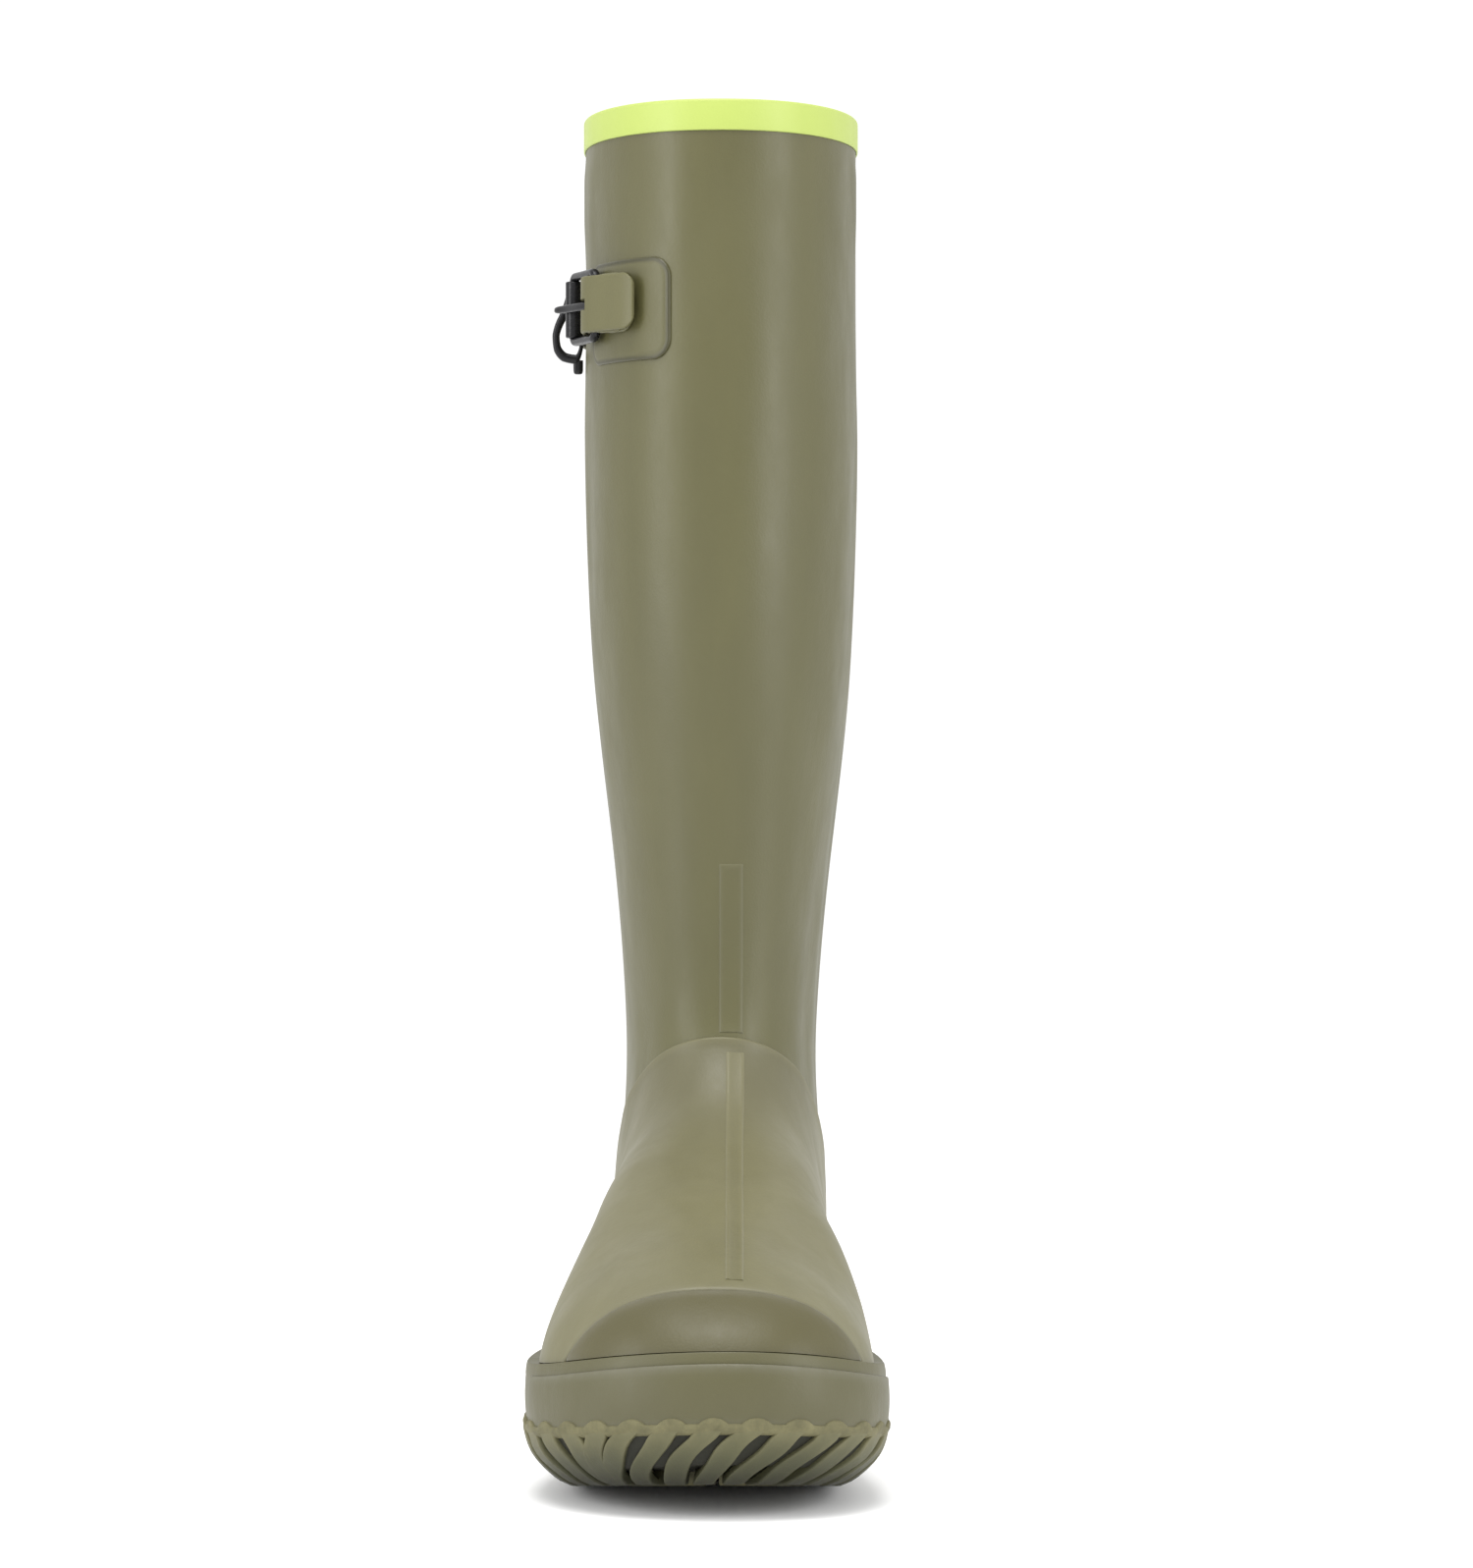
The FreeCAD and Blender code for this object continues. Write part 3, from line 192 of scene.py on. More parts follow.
def inset_sections(inset, top):
    """The sections moved inward by inset along the surface's slope, with the rim at top."""
    fronts, backs, sides = SECTIONS[:, 0:2], SECTIONS[:, 2:4], SECTIONS[:, 4:6]
    waists = fronts + (backs - fronts) * SECTIONS[:, 6:7]
    last = len(SECTIONS) - 1
    tip = fronts[last, 0] - inset
    moved = []
    for index in range(last + 1):
        front, back = fronts[index].copy(), backs[index].copy()
        outer, inner = sides[index]
        across = unit(back - front)
        before, after = max(index - 1, 0), min(index + 1, last)
        if index == last:
            front += across * TIP_SHRINK * inset - (inset, 0)
            back -= across * TIP_SHRINK * inset + (inset, 0)
            outer, inner = outer + TIP_SHRINK * inset, inner - TIP_SHRINK * inset
        else:
            if front[0] > tip - TIP_MARGIN:
                continue
            ways = [unit(line[after] - line[before]) for line in (fronts, backs)]
            leans = [abs(way[0] * across[1] - way[1] * across[0]) for way in ways]
            step = np.linalg.norm(waists[after] - waists[before])
            flare = np.hypot(1, (sides[after] - sides[before]) / step)
            front += across * inset * min(1 / leans[0], STEEPEST)
            back -= across * inset * min(1 / leans[1], STEEPEST)
            outer += inset * min(flare[0], STEEPEST)
            inner -= inset * min(flare[1], STEEPEST)
        if index == 0:
            front[1] = back[1] = top
        moved.append((front, back, outer, inner, *SECTIONS[index, 6:9]))
    return moved


def section_ring(front, back, outer, inner, waist, front_power, back_power, count):
    """Points round one section, evenly spaced down its inner side and up its outer side."""
    ring = []
    for side, reach in ((0, inner), (1, outer)):
        turn = np.pi * (side + np.linspace(0, 1, FINE_STEPS + 1))
        cosine, sine = np.cos(turn), np.sin(turn)
        power = 2 / np.where(cosine > 0, front_power, back_power)
        along, aside = np.abs(cosine) ** power, np.abs(sine) ** power
        depth = np.where(cosine > 0, waist * (1 - along), waist + (1 - waist) * along)
        middle = (outer + inner) / 2
        flat = front + (back - front) * depth[:, None]
        fine = np.column_stack([middle + (reach - middle) * aside, -flat[:, 0], flat[:, 1]])
        ring.append(resample(fine, np.arange(count // 2) / (count // 2)))
    return np.vstack(ring)


def stack(rings, rows):
    """Evenly spaced rows on the smooth surface through a stack of rings."""
    rings = np.array(rings)
    steps = np.linalg.norm(np.diff(rings, axis=0), axis=2).mean(axis=1)
    stations = np.concatenate([[0], np.cumsum(steps)])
    return spline(stations, rings, np.linspace(0, stations[-1], rows))


class Surface:
    """A grid of points, closed in its second direction, read at any place (u round, v along)."""

    def __init__(self, points):
        self.points = points
        along = np.gradient(points, axis=0)
        around = np.roll(points, -1, axis=1) - np.roll(points, 1, axis=1)
        normals = unit(np.cross(along, around))
        spokes = points - points.mean(axis=1, keepdims=True)
        self.normals = normals * np.sign((normals * spokes).sum(axis=2).mean())

    def at(self, u, v, offset=0.0):
        """The point at (u, v), moved outward by offset."""
        rows, columns = self.points.shape[:2]
        u, v = np.broadcast_arrays(np.asarray(u, float), np.asarray(v, float))
        column, row = (u % 1.0) * columns, np.clip(v, 0, 1) * (rows - 1)
        low, left = np.minimum(row.astype(int), rows - 2), column.astype(int) % columns
        right = (left + 1) % columns
        up, aside = (row - low)[..., None], (column - np.floor(column))[..., None]

        def read(grid):
            first = grid[low, left] * (1 - aside) + grid[low, right] * aside
            second = grid[low + 1, left] * (1 - aside) + grid[low + 1, right] * aside
            return first * (1 - up) + second * up

        return read(self.points) + unit(read(self.normals)) * np.asarray(offset, float)[..., None]


def boot_grid(inset, top, around, rows):
    """A grid of points on the boot's surface moved inward by inset, from the rim to the toe."""
    return stack([section_ring(*section, around) for section in inset_sections(inset, top)], rows)


# ---------------------------------------------------------------- lines of the sole, seen from the side
FOXING_TOP = [(-156, 50), (-100, 47), (-40, 44), (30, 43), (85, 43.5), (120, 47.5), (156, 55.5)]
FOXING_FOOT = [(-156, 24.5), (-100, 22.5), (-40, 22), (30, 21.5), (85, 22), (120, 25), (156, 30.5)]
TREAD_BASE_RISE = [(-156, 0), (-80, 0), (-66, 1.2), (-45, 3), (-22, 3), (-4, 1.2), (8, 0), (156, 0)]
INSOLE_LINE = [(-156, 29.0), (-138, 27.4), (-98, 26.4), (-45, 26.0), (10, 25.1), (80, 24.8),
               (101, 26.2), (118, 28.7), (132, 31.8), (156, 39.0)]
TOE_SPRING = 13.0
SPRING_START = 40.0
SPRING_POWER = 1.25
HALF_LENGTH = 150.0
LUG_DEPTH = 7.0


def line_height(line, forward):
    """The height of a line at forward distances."""
    line = np.array(line, float)
    return np.interp(forward, *smooth_line(line, 200).T)


def foxing_top(forward):
    return line_height(FOXING_TOP, forward)


def foxing_foot(forward):
    return line_height(FOXING_FOOT, forward)


def ground_height(forward):
    past = np.maximum(forward - SPRING_START, 0.0)
    return TOE_SPRING * (past / (HALF_LENGTH - SPRING_START)) ** SPRING_POWER


def tread_base(forward):
    """The underside of the outsole between its lugs."""
    return ground_height(forward) + LUG_DEPTH + line_height(TREAD_BASE_RISE, forward)


# ---------------------------------------------------------------- meshes
SHARP_ANGLE = math.radians(38)
SAME_POINT = 2e-6  # metres
MOST_DROP = 0.92
SLOT_OF = {row["node"]: row["material_slot"] for row in frame["record"]["subparts"]}
BODY_OF = {node: body for body, members in frame["record"]["behaviour"]["bodies"].items() for node in members}


def quads(index, wrap_rows=False, wrap_columns=False):
    """Faces between the neighbouring rows and columns of a table of vertex numbers."""
    if wrap_rows:
        index = np.vstack([index, index[:1]])
    if wrap_columns:
        index = np.column_stack([index, index[:, :1]])
    corners = [index[:-1, :-1], index[:-1, 1:], index[1:, 1:], index[1:, :-1]]
    return np.stack(corners, axis=-1).reshape(-1, 4)


class Mesh:
    """Vertices in millimetres, their mark of edge wear and painted shade, and their faces, gathered piece by
    piece.
    """

    def __init__(self):
        self.points, self.wear, self.faces = [], [], []
        self.count = 0

    def add(self, points, wear=0.0):
        """Adds points and returns a table of their numbers, shaped as they are."""
        points = np.asarray(points, float)
        shape = points.shape[:-1]
        self.points.append(points.reshape(-1, 3))
        self.wear.append(np.broadcast_to(np.asarray(wear, float), shape).reshape(-1))
        index = self.count + np.arange(int(np.prod(shape))).reshape(shape)
        self.count += index.size
        return index

    def join(self, faces):
        for face in np.asarray(faces).tolist():
            corners = [corner for place, corner in enumerate(face) if corner != face[place - 1]]
            if len(set(corners)) > 2:
                self.faces.append(corners)

    def tube(self, points, wear):
        """A solid through a row of closed sections."""
        index = self.add(points, wear)
        self.join(quads(index, wrap_columns=True))
        self.faces += [index[0].tolist(), index[-1].tolist()]

    def ring(self, points, wear=0.0):
        """A solid ring through sections that come back to the first one."""
        self.join(quads(self.add(points, wear), wrap_rows=True, wrap_columns=True))

    def block(self, outer, inner, distance, radius, tone=None):
        """A slab between two matching grids, its outer face rounded off towards its edges."""
        thick = np.linalg.norm(outer - inner, axis=-1, keepdims=True)
        drop = np.minimum(radius * (1 - rounding(distance, radius)[..., None]), MOST_DROP * thick)
        wear_and_shade_mark = ridge(1.0, 0.0, 2.2 * radius, distance)
        # A tone below 0 paints shade into the piece; above 0 it pales it like a worn edge.
        if tone is not None:
            wear_and_shade_mark = np.clip(0.3 * wear_and_shade_mark + tone, -1, 1)
        top = self.add(outer + unit(inner - outer) * drop, wear_and_shade_mark)
        base = self.add(inner)
        self.join(quads(top))
        self.join(quads(base))
        for place in (np.s_[0], np.s_[-1], np.s_[:, 0], np.s_[:, -1]):
            self.join(quads(np.array([top[place], base[place]])))

    def piece(self, node):
        """The object made of all this, which stands for a CAD node and rides on its body."""
        name = node + "_visual"
        mesh = bpy.data.meshes.new(name)
        points = np.vstack(self.points) * TO_FRAME
        mesh.from_pydata(points.tolist(), [], self.faces)
        wear = mesh.attributes.new("wear", "FLOAT", "POINT")
        wear.data.foreach_set("value", np.concatenate(self.wear).astype(np.float32))
        work = bmesh.new()
        work.from_mesh(mesh)
        bmesh.ops.remove_doubles(work, verts=work.verts, dist=SAME_POINT)
        loose = [vertex for vertex in work.verts if not vertex.link_faces]
        bmesh.ops.delete(work, geom=loose, context="VERTS")
        bmesh.ops.recalc_face_normals(work, faces=work.faces)
        for face in work.faces:
            face.smooth = True
        for edge in work.edges:
            edge.smooth = edge.calc_face_angle(0.0) < SHARP_ANGLE
        work.to_mesh(mesh)
        work.free()
        mesh.materials.append(MATERIALS[SLOT_OF[node]])
        item = bpy.data.objects.new(name, mesh)
        bpy.context.scene.collection.objects.link(item)
        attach(item, BODY_OF[node])
        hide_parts(node)
        return item


def sweep(node, rows, wear=0.0):
    """A piece that is a solid ring, from the rows of points that run along it."""
    mesh = Mesh()
    mesh.ring(np.stack(rows, axis=1), wear)
    mesh.piece(node)


def edge_steps(length, spacing):
    """Shares of a length, close together near both ends for a rounded edge."""
    near = np.array([0, 0.08, 0.25, 0.5, 0.85, 1.3, 2.0])
    if length < 6 * near[-1] / 2:
        near = near * length / (6 * near[-1] / 2)
    count = max(int((length - 2 * near[-1]) / spacing), 1)
    inside = np.linspace(near[-1], length - near[-1], count + 1)
    return np.concatenate([near[:-1], inside, (length - near[:-1])[::-1]]) / length


def crossing(values, places):
    """Where each row of values first changes sign, among the places they were read at."""
    change = np.signbit(values[:, 1:]) != np.signbit(values[:, :-1])
    first, rows = change.argmax(axis=1), np.arange(len(values))
    before, after = values[rows, first], values[rows, first + 1]
    place = places[first] + (places[first + 1] - places[first]) * before / (before - after)
    return np.where(change.any(axis=1), place, np.nan)


def edge_along(surface, us, test, start=0.0, end=1.0, steps=900):
    """The line (u, v) where test changes sign, met going along the surface at each u."""
    places = np.linspace(start, end, steps)
    vs = crossing(test(surface.at(us[:, None], places[None, :])), places)
    return clean(np.column_stack([us, vs]))


def edge_around(surface, vs, test, start, end, steps=700):
    """The line (u, v) where test changes sign, met going round the surface at each v."""
    places = np.linspace(start, end, steps)
    us = crossing(test(surface.at(places[None, :], vs[:, None])), places)
    return clean(np.column_stack([us, vs]))


def clean(line):
    return line[~np.isnan(line).any(axis=1)]


def trimmed(surface, line, test):
    """The part of a line where test is positive, ending exactly where it changes sign."""
    values = test(surface.at(line[:, 0], line[:, 1]))
    keep = np.flatnonzero(values > 0)
    first, last = keep[0], keep[-1]
    part = [line[first:last + 1]]
    if first > 0:
        share = values[first] / (values[first] - values[first - 1])
        part.insert(0, line[first] + (line[first - 1] - line[first])[None] * share)
    if last < len(line) - 1:
        share = values[last] / (values[last] - values[last + 1])
        part.append(line[last] + (line[last + 1] - line[last])[None] * share)
    return np.vstack(part)


def shared(surface, line, shares):
    """Points (u, v) at shares of a line's real length."""
    distance = travelled(surface.at(line[:, 0], line[:, 1]))
    return np.column_stack([np.interp(shares * distance[-1], distance, column) for column in line.T])


def line_length(surface, line):
    return travelled(surface.at(line[:, 0], line[:, 1]))[-1]


def edge_distances(s, t, long, wide):
    """How far each place of a grid, at shares s and t of its two ways, is from the ends of each."""
    return np.minimum(s, 1 - s)[:, None] * long, np.minimum(t, 1 - t)[None] * wide


def four_sided(surface, back, front, low, high, spacing=2.6):
    """Places (u, v) over the area inside four edge lines, and their distances to the edges."""
    wide = (line_length(surface, back) + line_length(surface, front)) / 2
    long = (line_length(surface, low) + line_length(surface, high)) / 2
    s, t = edge_steps(long, spacing), edge_steps(wide, spacing)
    a, b = shared(surface, back, t)[None], shared(surface, front, t)[None]
    c, d = shared(surface, low, s)[:, None], shared(surface, high, s)[:, None]
    s_, t_ = s[:, None, None], t[None, :, None]
    corners = ((1 - s_) * (1 - t_) * a[:, :1] + (1 - s_) * t_ * a[:, -1:]
               + s_ * (1 - t_) * b[:, :1] + s_ * t_ * b[:, -1:])
    places = (1 - s_) * a + s_ * b + (1 - t_) * c + t_ * d - corners
    return places, *edge_distances(s, t, long, wide)


def two_sided(surface, first, last, rows=26, columns=90):
    """Places (u, v) between two edge lines that meet at both ends."""
    t = 0.5 - 0.5 * np.cos(np.pi * np.linspace(0.0, 1.0, columns))
    a, b = shared(surface, first, t), shared(surface, last, t)
    gaps = np.linalg.norm(surface.at(a[:, 0], a[:, 1]) - surface.at(b[:, 0], b[:, 1]), axis=1)
    s = edge_steps(gaps.max(), gaps.max() / rows)
    places = (1 - s)[:, None, None] * a[None] + s[:, None, None] * b[None]
    return places, np.minimum(s, 1 - s)[:, None] * gaps[None]


# ---------------------------------------------------------------- materials
# The mix node's sockets for colours, which share their names with its other sockets.
MIX_SHARE = 0
MIX_COLOURS = (6, 7)
MIXED_COLOUR = 2


def nodes_of(name):
    """A new material with its node tree and its shader."""
    material = bpy.data.materials.new(name)
    material.use_nodes = True
    tree = material.node_tree
    return material, tree, tree.nodes["Principled BSDF"]


def feed(tree, node, inputs):
    """Sets a node's plain inputs and links the others."""
    for key, value in inputs.items():
        if isinstance(value, bpy.types.NodeSocket):
            tree.links.new(value, node.inputs[key])
        else:
            node.inputs[key].default_value = value


def linked(tree, kind, inputs=None, **settings):
    """A new node with its settings, its plain inputs and its links."""
    node = tree.nodes.new(kind)
    for key, value in settings.items():
        setattr(node, key, value)
    feed(tree, node, inputs or {})
    return node


def scaled_place(tree, stretch):
    """The place on the object, in metres, stretched along each axis."""
    place = linked(tree, "ShaderNodeTexCoord").outputs["Object"]
    return linked(tree, "ShaderNodeMapping", {"Vector": place, "Scale": stretch}).outputs["Vector"]


def noise(tree, stretch, detail=3.0, roughness=0.55, distortion=0.0):
    place = scaled_place(tree, stretch)
    inputs = {"Vector": place, "Scale": 1.0, "Detail": detail, "Roughness": roughness,
              "Distortion": distortion}
    return linked(tree, "ShaderNodeTexNoise", inputs).outputs["Fac"]


def spread(tree, value, low, high, out_low, out_high):
    """A value moved from one range to another."""
    inputs = {"Value": value, "From Min": low, "From Max": high, "To Min": out_low, "To Max": out_high}
    return linked(tree, "ShaderNodeMapRange", inputs).outputs["Result"]


def calculate(tree, operation, first, second):
    return linked(tree, "ShaderNodeMath", {0: first, 1: second}, operation=operation).outputs["Value"]


def mixed(tree, share, first, second):
    """Two colours mixed by a share. Each one is a socket or a plain colour."""
    inputs = {MIX_SHARE: share}
    for place, value in zip(MIX_COLOURS, (first, second)):
        inputs[place] = value if isinstance(value, bpy.types.NodeSocket) else (*value, 1.0)
    return linked(tree, "ShaderNodeMix", inputs, data_type="RGBA").outputs[MIXED_COLOUR]


def bump(tree, height, strength, depth, below=None):
    inputs = {"Height": height, "Strength": strength, "Distance": depth}
    if below is not None:
        inputs["Normal"] = below
    return linked(tree, "ShaderNodeBump", inputs).outputs["Normal"]


def read_wear_and_shade(tree):
    """The mesh's mark: above 0 on worn edges and where a piece takes its rim colour, below 0 where shade is
    painted.
    """
    return linked(tree, "ShaderNodeAttribute", attribute_name="wear").outputs["Fac"]


def shade(colour, factor):
    """A colour made lighter or darker."""
    return tuple(min(channel * factor, 1.0) for channel in colour)


def cell_distance(tree, cells_per_metre):
    """How far each point is from the middle of its cell in a pattern of random cells."""
    place = scaled_place(tree, (cells_per_metre,) * 3)
    cells = linked(tree, "ShaderNodeTexVoronoi", {"Vector": place, "Scale": 1.0})
    return cells.outputs["Distance"]


def rubber(name, colour, roughness=0.5, variation=0.07, grain=1.0, streaks=1.0, worn_colour=None,
           worn_share=0.6, mirror=0.45):
    """Moulded rubber: slow mottling and faint upright streaks, a fine pebble, dusty worn edges, and painted
    shade where the mesh's mark is below 0.
    """
    material, tree, shader = nodes_of(name)
    mottle = noise(tree, (22, 22, 15), 4.0, 0.6)
    streak = noise(tree, (55, 55, 4.5), 3.0, 0.5, 0.4)
    flow = calculate(tree, "ADD", spread(tree, mottle, 0.3, 0.7, 0, 0.6),
                     spread(tree, streak, 0.35, 0.65, 0, 0.4 * streaks))
    base = mixed(tree, flow, shade(colour, 1 - variation), shade(colour, 1 + variation))
    speck = spread(tree, noise(tree, (2600, 2600, 2600), 2.0), 0.62, 0.8, 0, 0.35)
    base = mixed(tree, speck, base, shade(colour, 0.72))
    # Painted shade: a mark below 0 darkens the colour, down to three tenths of it.
    painted_shade = spread(tree, read_wear_and_shade(tree), 0, -1, 0, 1)
    base = mixed(tree, painted_shade, base, shade(colour, 0.3))
    scuff = noise(tree, (160, 160, 160), 5.0, 0.7)
    wear_and_shade_mark = calculate(tree, "MULTIPLY", read_wear_and_shade(tree), spread(tree, scuff, 0.3, 0.7, 0.5, 1.0))
    pale = worn_colour or tuple(channel + (0.36 - channel) * 0.22 for channel in colour)
    colour_out = mixed(tree, calculate(tree, "MULTIPLY", wear_and_shade_mark, worn_share), base, pale)
    rough = spread(tree, noise(tree, (70, 70, 30), 4.0, 0.65), 0.3, 0.7, roughness - 0.06, roughness + 0.07)
    rough = calculate(tree, "ADD", rough, calculate(tree, "MULTIPLY", wear_and_shade_mark, 0.08))
    fine = bump(tree, cell_distance(tree, 1100), 0.22 * grain, 0.00012)
    fine = bump(tree, noise(tree, (420, 420, 420), 4.0, 0.6), 0.25 * grain, 0.00018, fine)
    waves = bump(tree, noise(tree, (48, 48, 26), 3.0, 0.5), 0.35, 0.0006, fine)
    feed(tree, shader, {"Base Color": colour_out, "Roughness": rough, "Normal": waves, "IOR": 1.48,
                        "Specular IOR Level": mirror})
    return material


def metal(name, colour, roughness, metallic, bare, mirror=0.5):
    """Coated or plain metal, polished or chipped where its edges wear."""
    material, tree, shader = nodes_of(name)
    cloud = spread(tree, noise(tree, (90, 90, 90), 4.0, 0.6), 0.3, 0.7, 0, 1)
    base = mixed(tree, cloud, shade(colour, 0.85), shade(colour, 1.2))
    chips = spread(tree, noise(tree, (700, 700, 700), 5.0, 0.75), 0.45, 0.62, 0, 1)
    wear_and_shade_mark = calculate(tree, "MULTIPLY", read_wear_and_shade(tree), chips)
    rough = spread(tree, noise(tree, (260, 260, 260), 4.0, 0.6), 0.3, 0.7, roughness - 0.07, roughness + 0.09)
    orange_peel = bump(tree, noise(tree, (1260, 1260, 1260), 3.0, 0.5), 0.18, 0.0001)
    feed(tree, shader, {"Base Color": mixed(tree, wear_and_shade_mark, base, bare), "Roughness": rough,
                        "Metallic": spread(tree, wear_and_shade_mark, 0, 1, metallic, 1.0), "Normal": orange_peel,
                        "Specular IOR Level": mirror})
    return material


def cloth(name, colour, pitch, fuzz, roughness=0.9, depth=0.0004):
    """Knitted or brushed fabric: crossing rows of loops, flecked yarn and a soft sheen."""
    material, tree, shader = nodes_of(name)
    turns = 2 * math.pi / pitch
    waves = []
    for stretch, direction in (((turns, turns, 0), "X"), ((0, 0, turns), "Z")):
        place = scaled_place(tree, stretch)
        inputs = {"Vector": place, "Scale": 0.159, "Distortion": 1.2, "Detail": 2.0}
        wave = linked(tree, "ShaderNodeTexWave", inputs, bands_direction=direction)
        waves.append(wave.outputs["Fac"])
    loops = calculate(tree, "MULTIPLY", *waves)
    fleck = noise(tree, (1500, 1500, 1500), 3.0, 0.7)
    loop_part = calculate(tree, "MULTIPLY", loops, 0.6)
    tone = calculate(tree, "ADD", loop_part, calculate(tree, "MULTIPLY", fleck, 0.5))
    height = calculate(tree, "ADD", loops, calculate(tree, "MULTIPLY", fleck, fuzz))
    rough = spread(tree, noise(tree, (60, 60, 60), 4.0), 0.3, 0.7, roughness - 0.06, roughness + 0.06)
    feed(tree, shader, {"Base Color": mixed(tree, tone, shade(colour, 0.55), shade(colour, 1.35)),
                        "Roughness": rough, "Normal": bump(tree, height, 0.8, depth),
                        "Sheen Weight": 0.35, "Sheen Roughness": 0.5})
    return material


def foam(name, colour, cell=900, roughness=0.85):
    """Cut foam or pressed fibre: open cells and slow stains."""
    material, tree, shader = nodes_of(name)
    cells = cell_distance(tree, cell)
    cloud = noise(tree, (40, 40, 40), 4.0, 0.6)
    tone = calculate(tree, "ADD", calculate(tree, "MULTIPLY", cells, 0.5), cloud)
    tone = spread(tree, tone, 0.4, 1.1, 0, 1)
    feed(tree, shader, {"Base Color": mixed(tree, tone, shade(colour, 0.75), shade(colour, 1.25)),
                        "Roughness": spread(tree, cloud, 0.3, 0.7, roughness - 0.05, roughness + 0.08),
                        "Normal": bump(tree, cells, 0.5, 0.0003)})
    return material


OLIVE = (0.0735, 0.069, 0.0255)
VAMP = (0.113, 0.105, 0.052)
TOE = (0.061, 0.054, 0.0175)
FOXING = (0.070, 0.065, 0.0265)
RIM_COLOUR = (0.150, 0.139, 0.072)
LUG = (0.060, 0.060, 0.029)
# Painted shade: the sole's rubber is given this dark colour between its lugs to stand for the shade in the
# grooves; its rim takes RIM_COLOUR.
TREAD_PAINTED_SHADE = (0.018, 0.018, 0.012)
LIME = (0.325, 0.40, 0.087)
MATERIALS = {
    "olive_rubber": rubber("olive_rubber_look", OLIVE, 0.44),
    "olive_vamp_rubber": rubber("olive_vamp_rubber_look", VAMP, 0.48, 0.08),
    "toe_rubber": rubber("toe_rubber_look", TOE, 0.46, streaks=0.3),
    "foxing_rubber": rubber("foxing_rubber_look", FOXING, 0.5, streaks=0.3),
    "sole_rubber": rubber("sole_rubber_look", TREAD_PAINTED_SHADE, 0.62, 0.12, 1.3, 0.2, RIM_COLOUR, 1.0, 0.2),
    "lug_rubber": rubber("lug_rubber_look", LUG, 0.58, 0.3, 1.2, 0.2, RIM_COLOUR, 0.8, 0.3),
    "strap_rubber": rubber("strap_rubber_look", shade(OLIVE, 1.16), 0.46, 0.08, 1.2, worn_share=0.35),
    "binding_rubber": rubber("binding_rubber_look", LIME, 0.48, 0.03, 0.7, 0.3),
    "black_metal": metal("black_metal_look", (0.006, 0.006, 0.007), 0.24, 0.0, (0.03, 0.03, 0.031), 0.24),
    "roller_metal": metal("roller_metal_look", (0.007, 0.007, 0.008), 0.24, 0.0, (0.035, 0.035, 0.036), 0.24),
    "shank_steel": metal("shank_steel_look", (0.50, 0.50, 0.52), 0.34, 1.0, (0.6, 0.6, 0.6)),
    "insulation_foam": foam("insulation_foam_look", (0.10, 0.10, 0.10)),
    "lining_fabric": cloth("lining_fabric_look", (0.14, 0.15, 0.13), 0.0018, 0.5),
    "stiffener_board": foam("stiffener_board_look", (0.25, 0.22, 0.18), 1800, 0.6),
    "midsole_foam": foam("midsole_foam_look", (0.16, 0.16, 0.14), 700),
    "insole_fibre": foam("insole_fibre_look", (0.55, 0.45, 0.30), 1500, 0.8),
    "footbed_foam": foam("footbed_foam_look", (0.12, 0.13, 0.12), 1000),
    "footbed_fabric": cloth("footbed_fabric_look", (0.20, 0.22, 0.18), 0.0022, 0.9, 0.95, 0.0005),
}
for cad_node, material_slot in SLOT_OF.items():
    cad_mesh = frame["nodes"][cad_node].data
    cad_mesh.materials.clear()
    cad_mesh.materials.append(MATERIALS[material_slot])


# ---------------------------------------------------------------- the soft shell
AROUND = 240
ALONG = 340
INSIDE_ALONG = 150
UPPER_WALL = 2.3
GLUE_GAP = 0.1
INSULATION_WALL = 3.0
LINING_WALL = 1.0
RIM_GAP = 1.2
SOCK_DROP = 0.8
# Shallow upright waves in the leg: depth, how many go round, where they start and how they turn, and the
# heights between which they fade in or out.
WAVES = ((0.30, 3, 0.5, 1 / 95), (0.20, 5, 2.1, -1 / 70), (0.16, 9, 0.9, 1 / 50), (0.10, 14, 4.0, -1 / 33))
OVER_FOOT = (60, 150)
BELOW_STRAP = (345, 372)
ABOVE_STRAP = (404, 425)
UNDER_RIM = (436, 446)


def leg_waves(points):
    """How far the leg's rubber stands in or out of its even shape, with none at the strap or foot."""
    middle = points.mean(axis=1, keepdims=True)
    turn = np.arctan2(points[..., 0] - middle[..., 0], middle[..., 1] - points[..., 1])
    height = points[..., 2]
    wave = sum(depth * np.sin(count * turn + start + height * lean) for depth, count, start, lean in WAVES)
    strap = smooth_step(*BELOW_STRAP, height) * (1 - smooth_step(*ABOVE_STRAP, height))
    return wave * smooth_step(*OVER_FOOT, height) * (1 - strap) * (1 - smooth_step(*UNDER_RIM, height))


smooth_boot = Surface(boot_grid(0.0, RIM, AROUND, ALONG))
boot = Surface(smooth_boot.points + smooth_boot.normals * leg_waves(smooth_boot.points)[..., None])


def add_shell(node, outer, inner):
    """A wall between two grids that both run from the rim to the toe."""
    mesh = Mesh()
    outside, inside = mesh.add(outer), mesh.add(inner)
    for index in (outside, inside, np.array([outside[0], inside[0]])):
        mesh.join(quads(index, wrap_columns=True))
    mesh.faces += [outside[-1].tolist(), inside[-1].tolist()]
    return mesh.piece(node)


def lowered_rim(points, drop):
    """A grid whose first row is moved down to the rim that the piece really has."""
    moved = points.copy()
    moved[..., 2] = np.minimum(moved[..., 2], RIM - drop)
    return moved


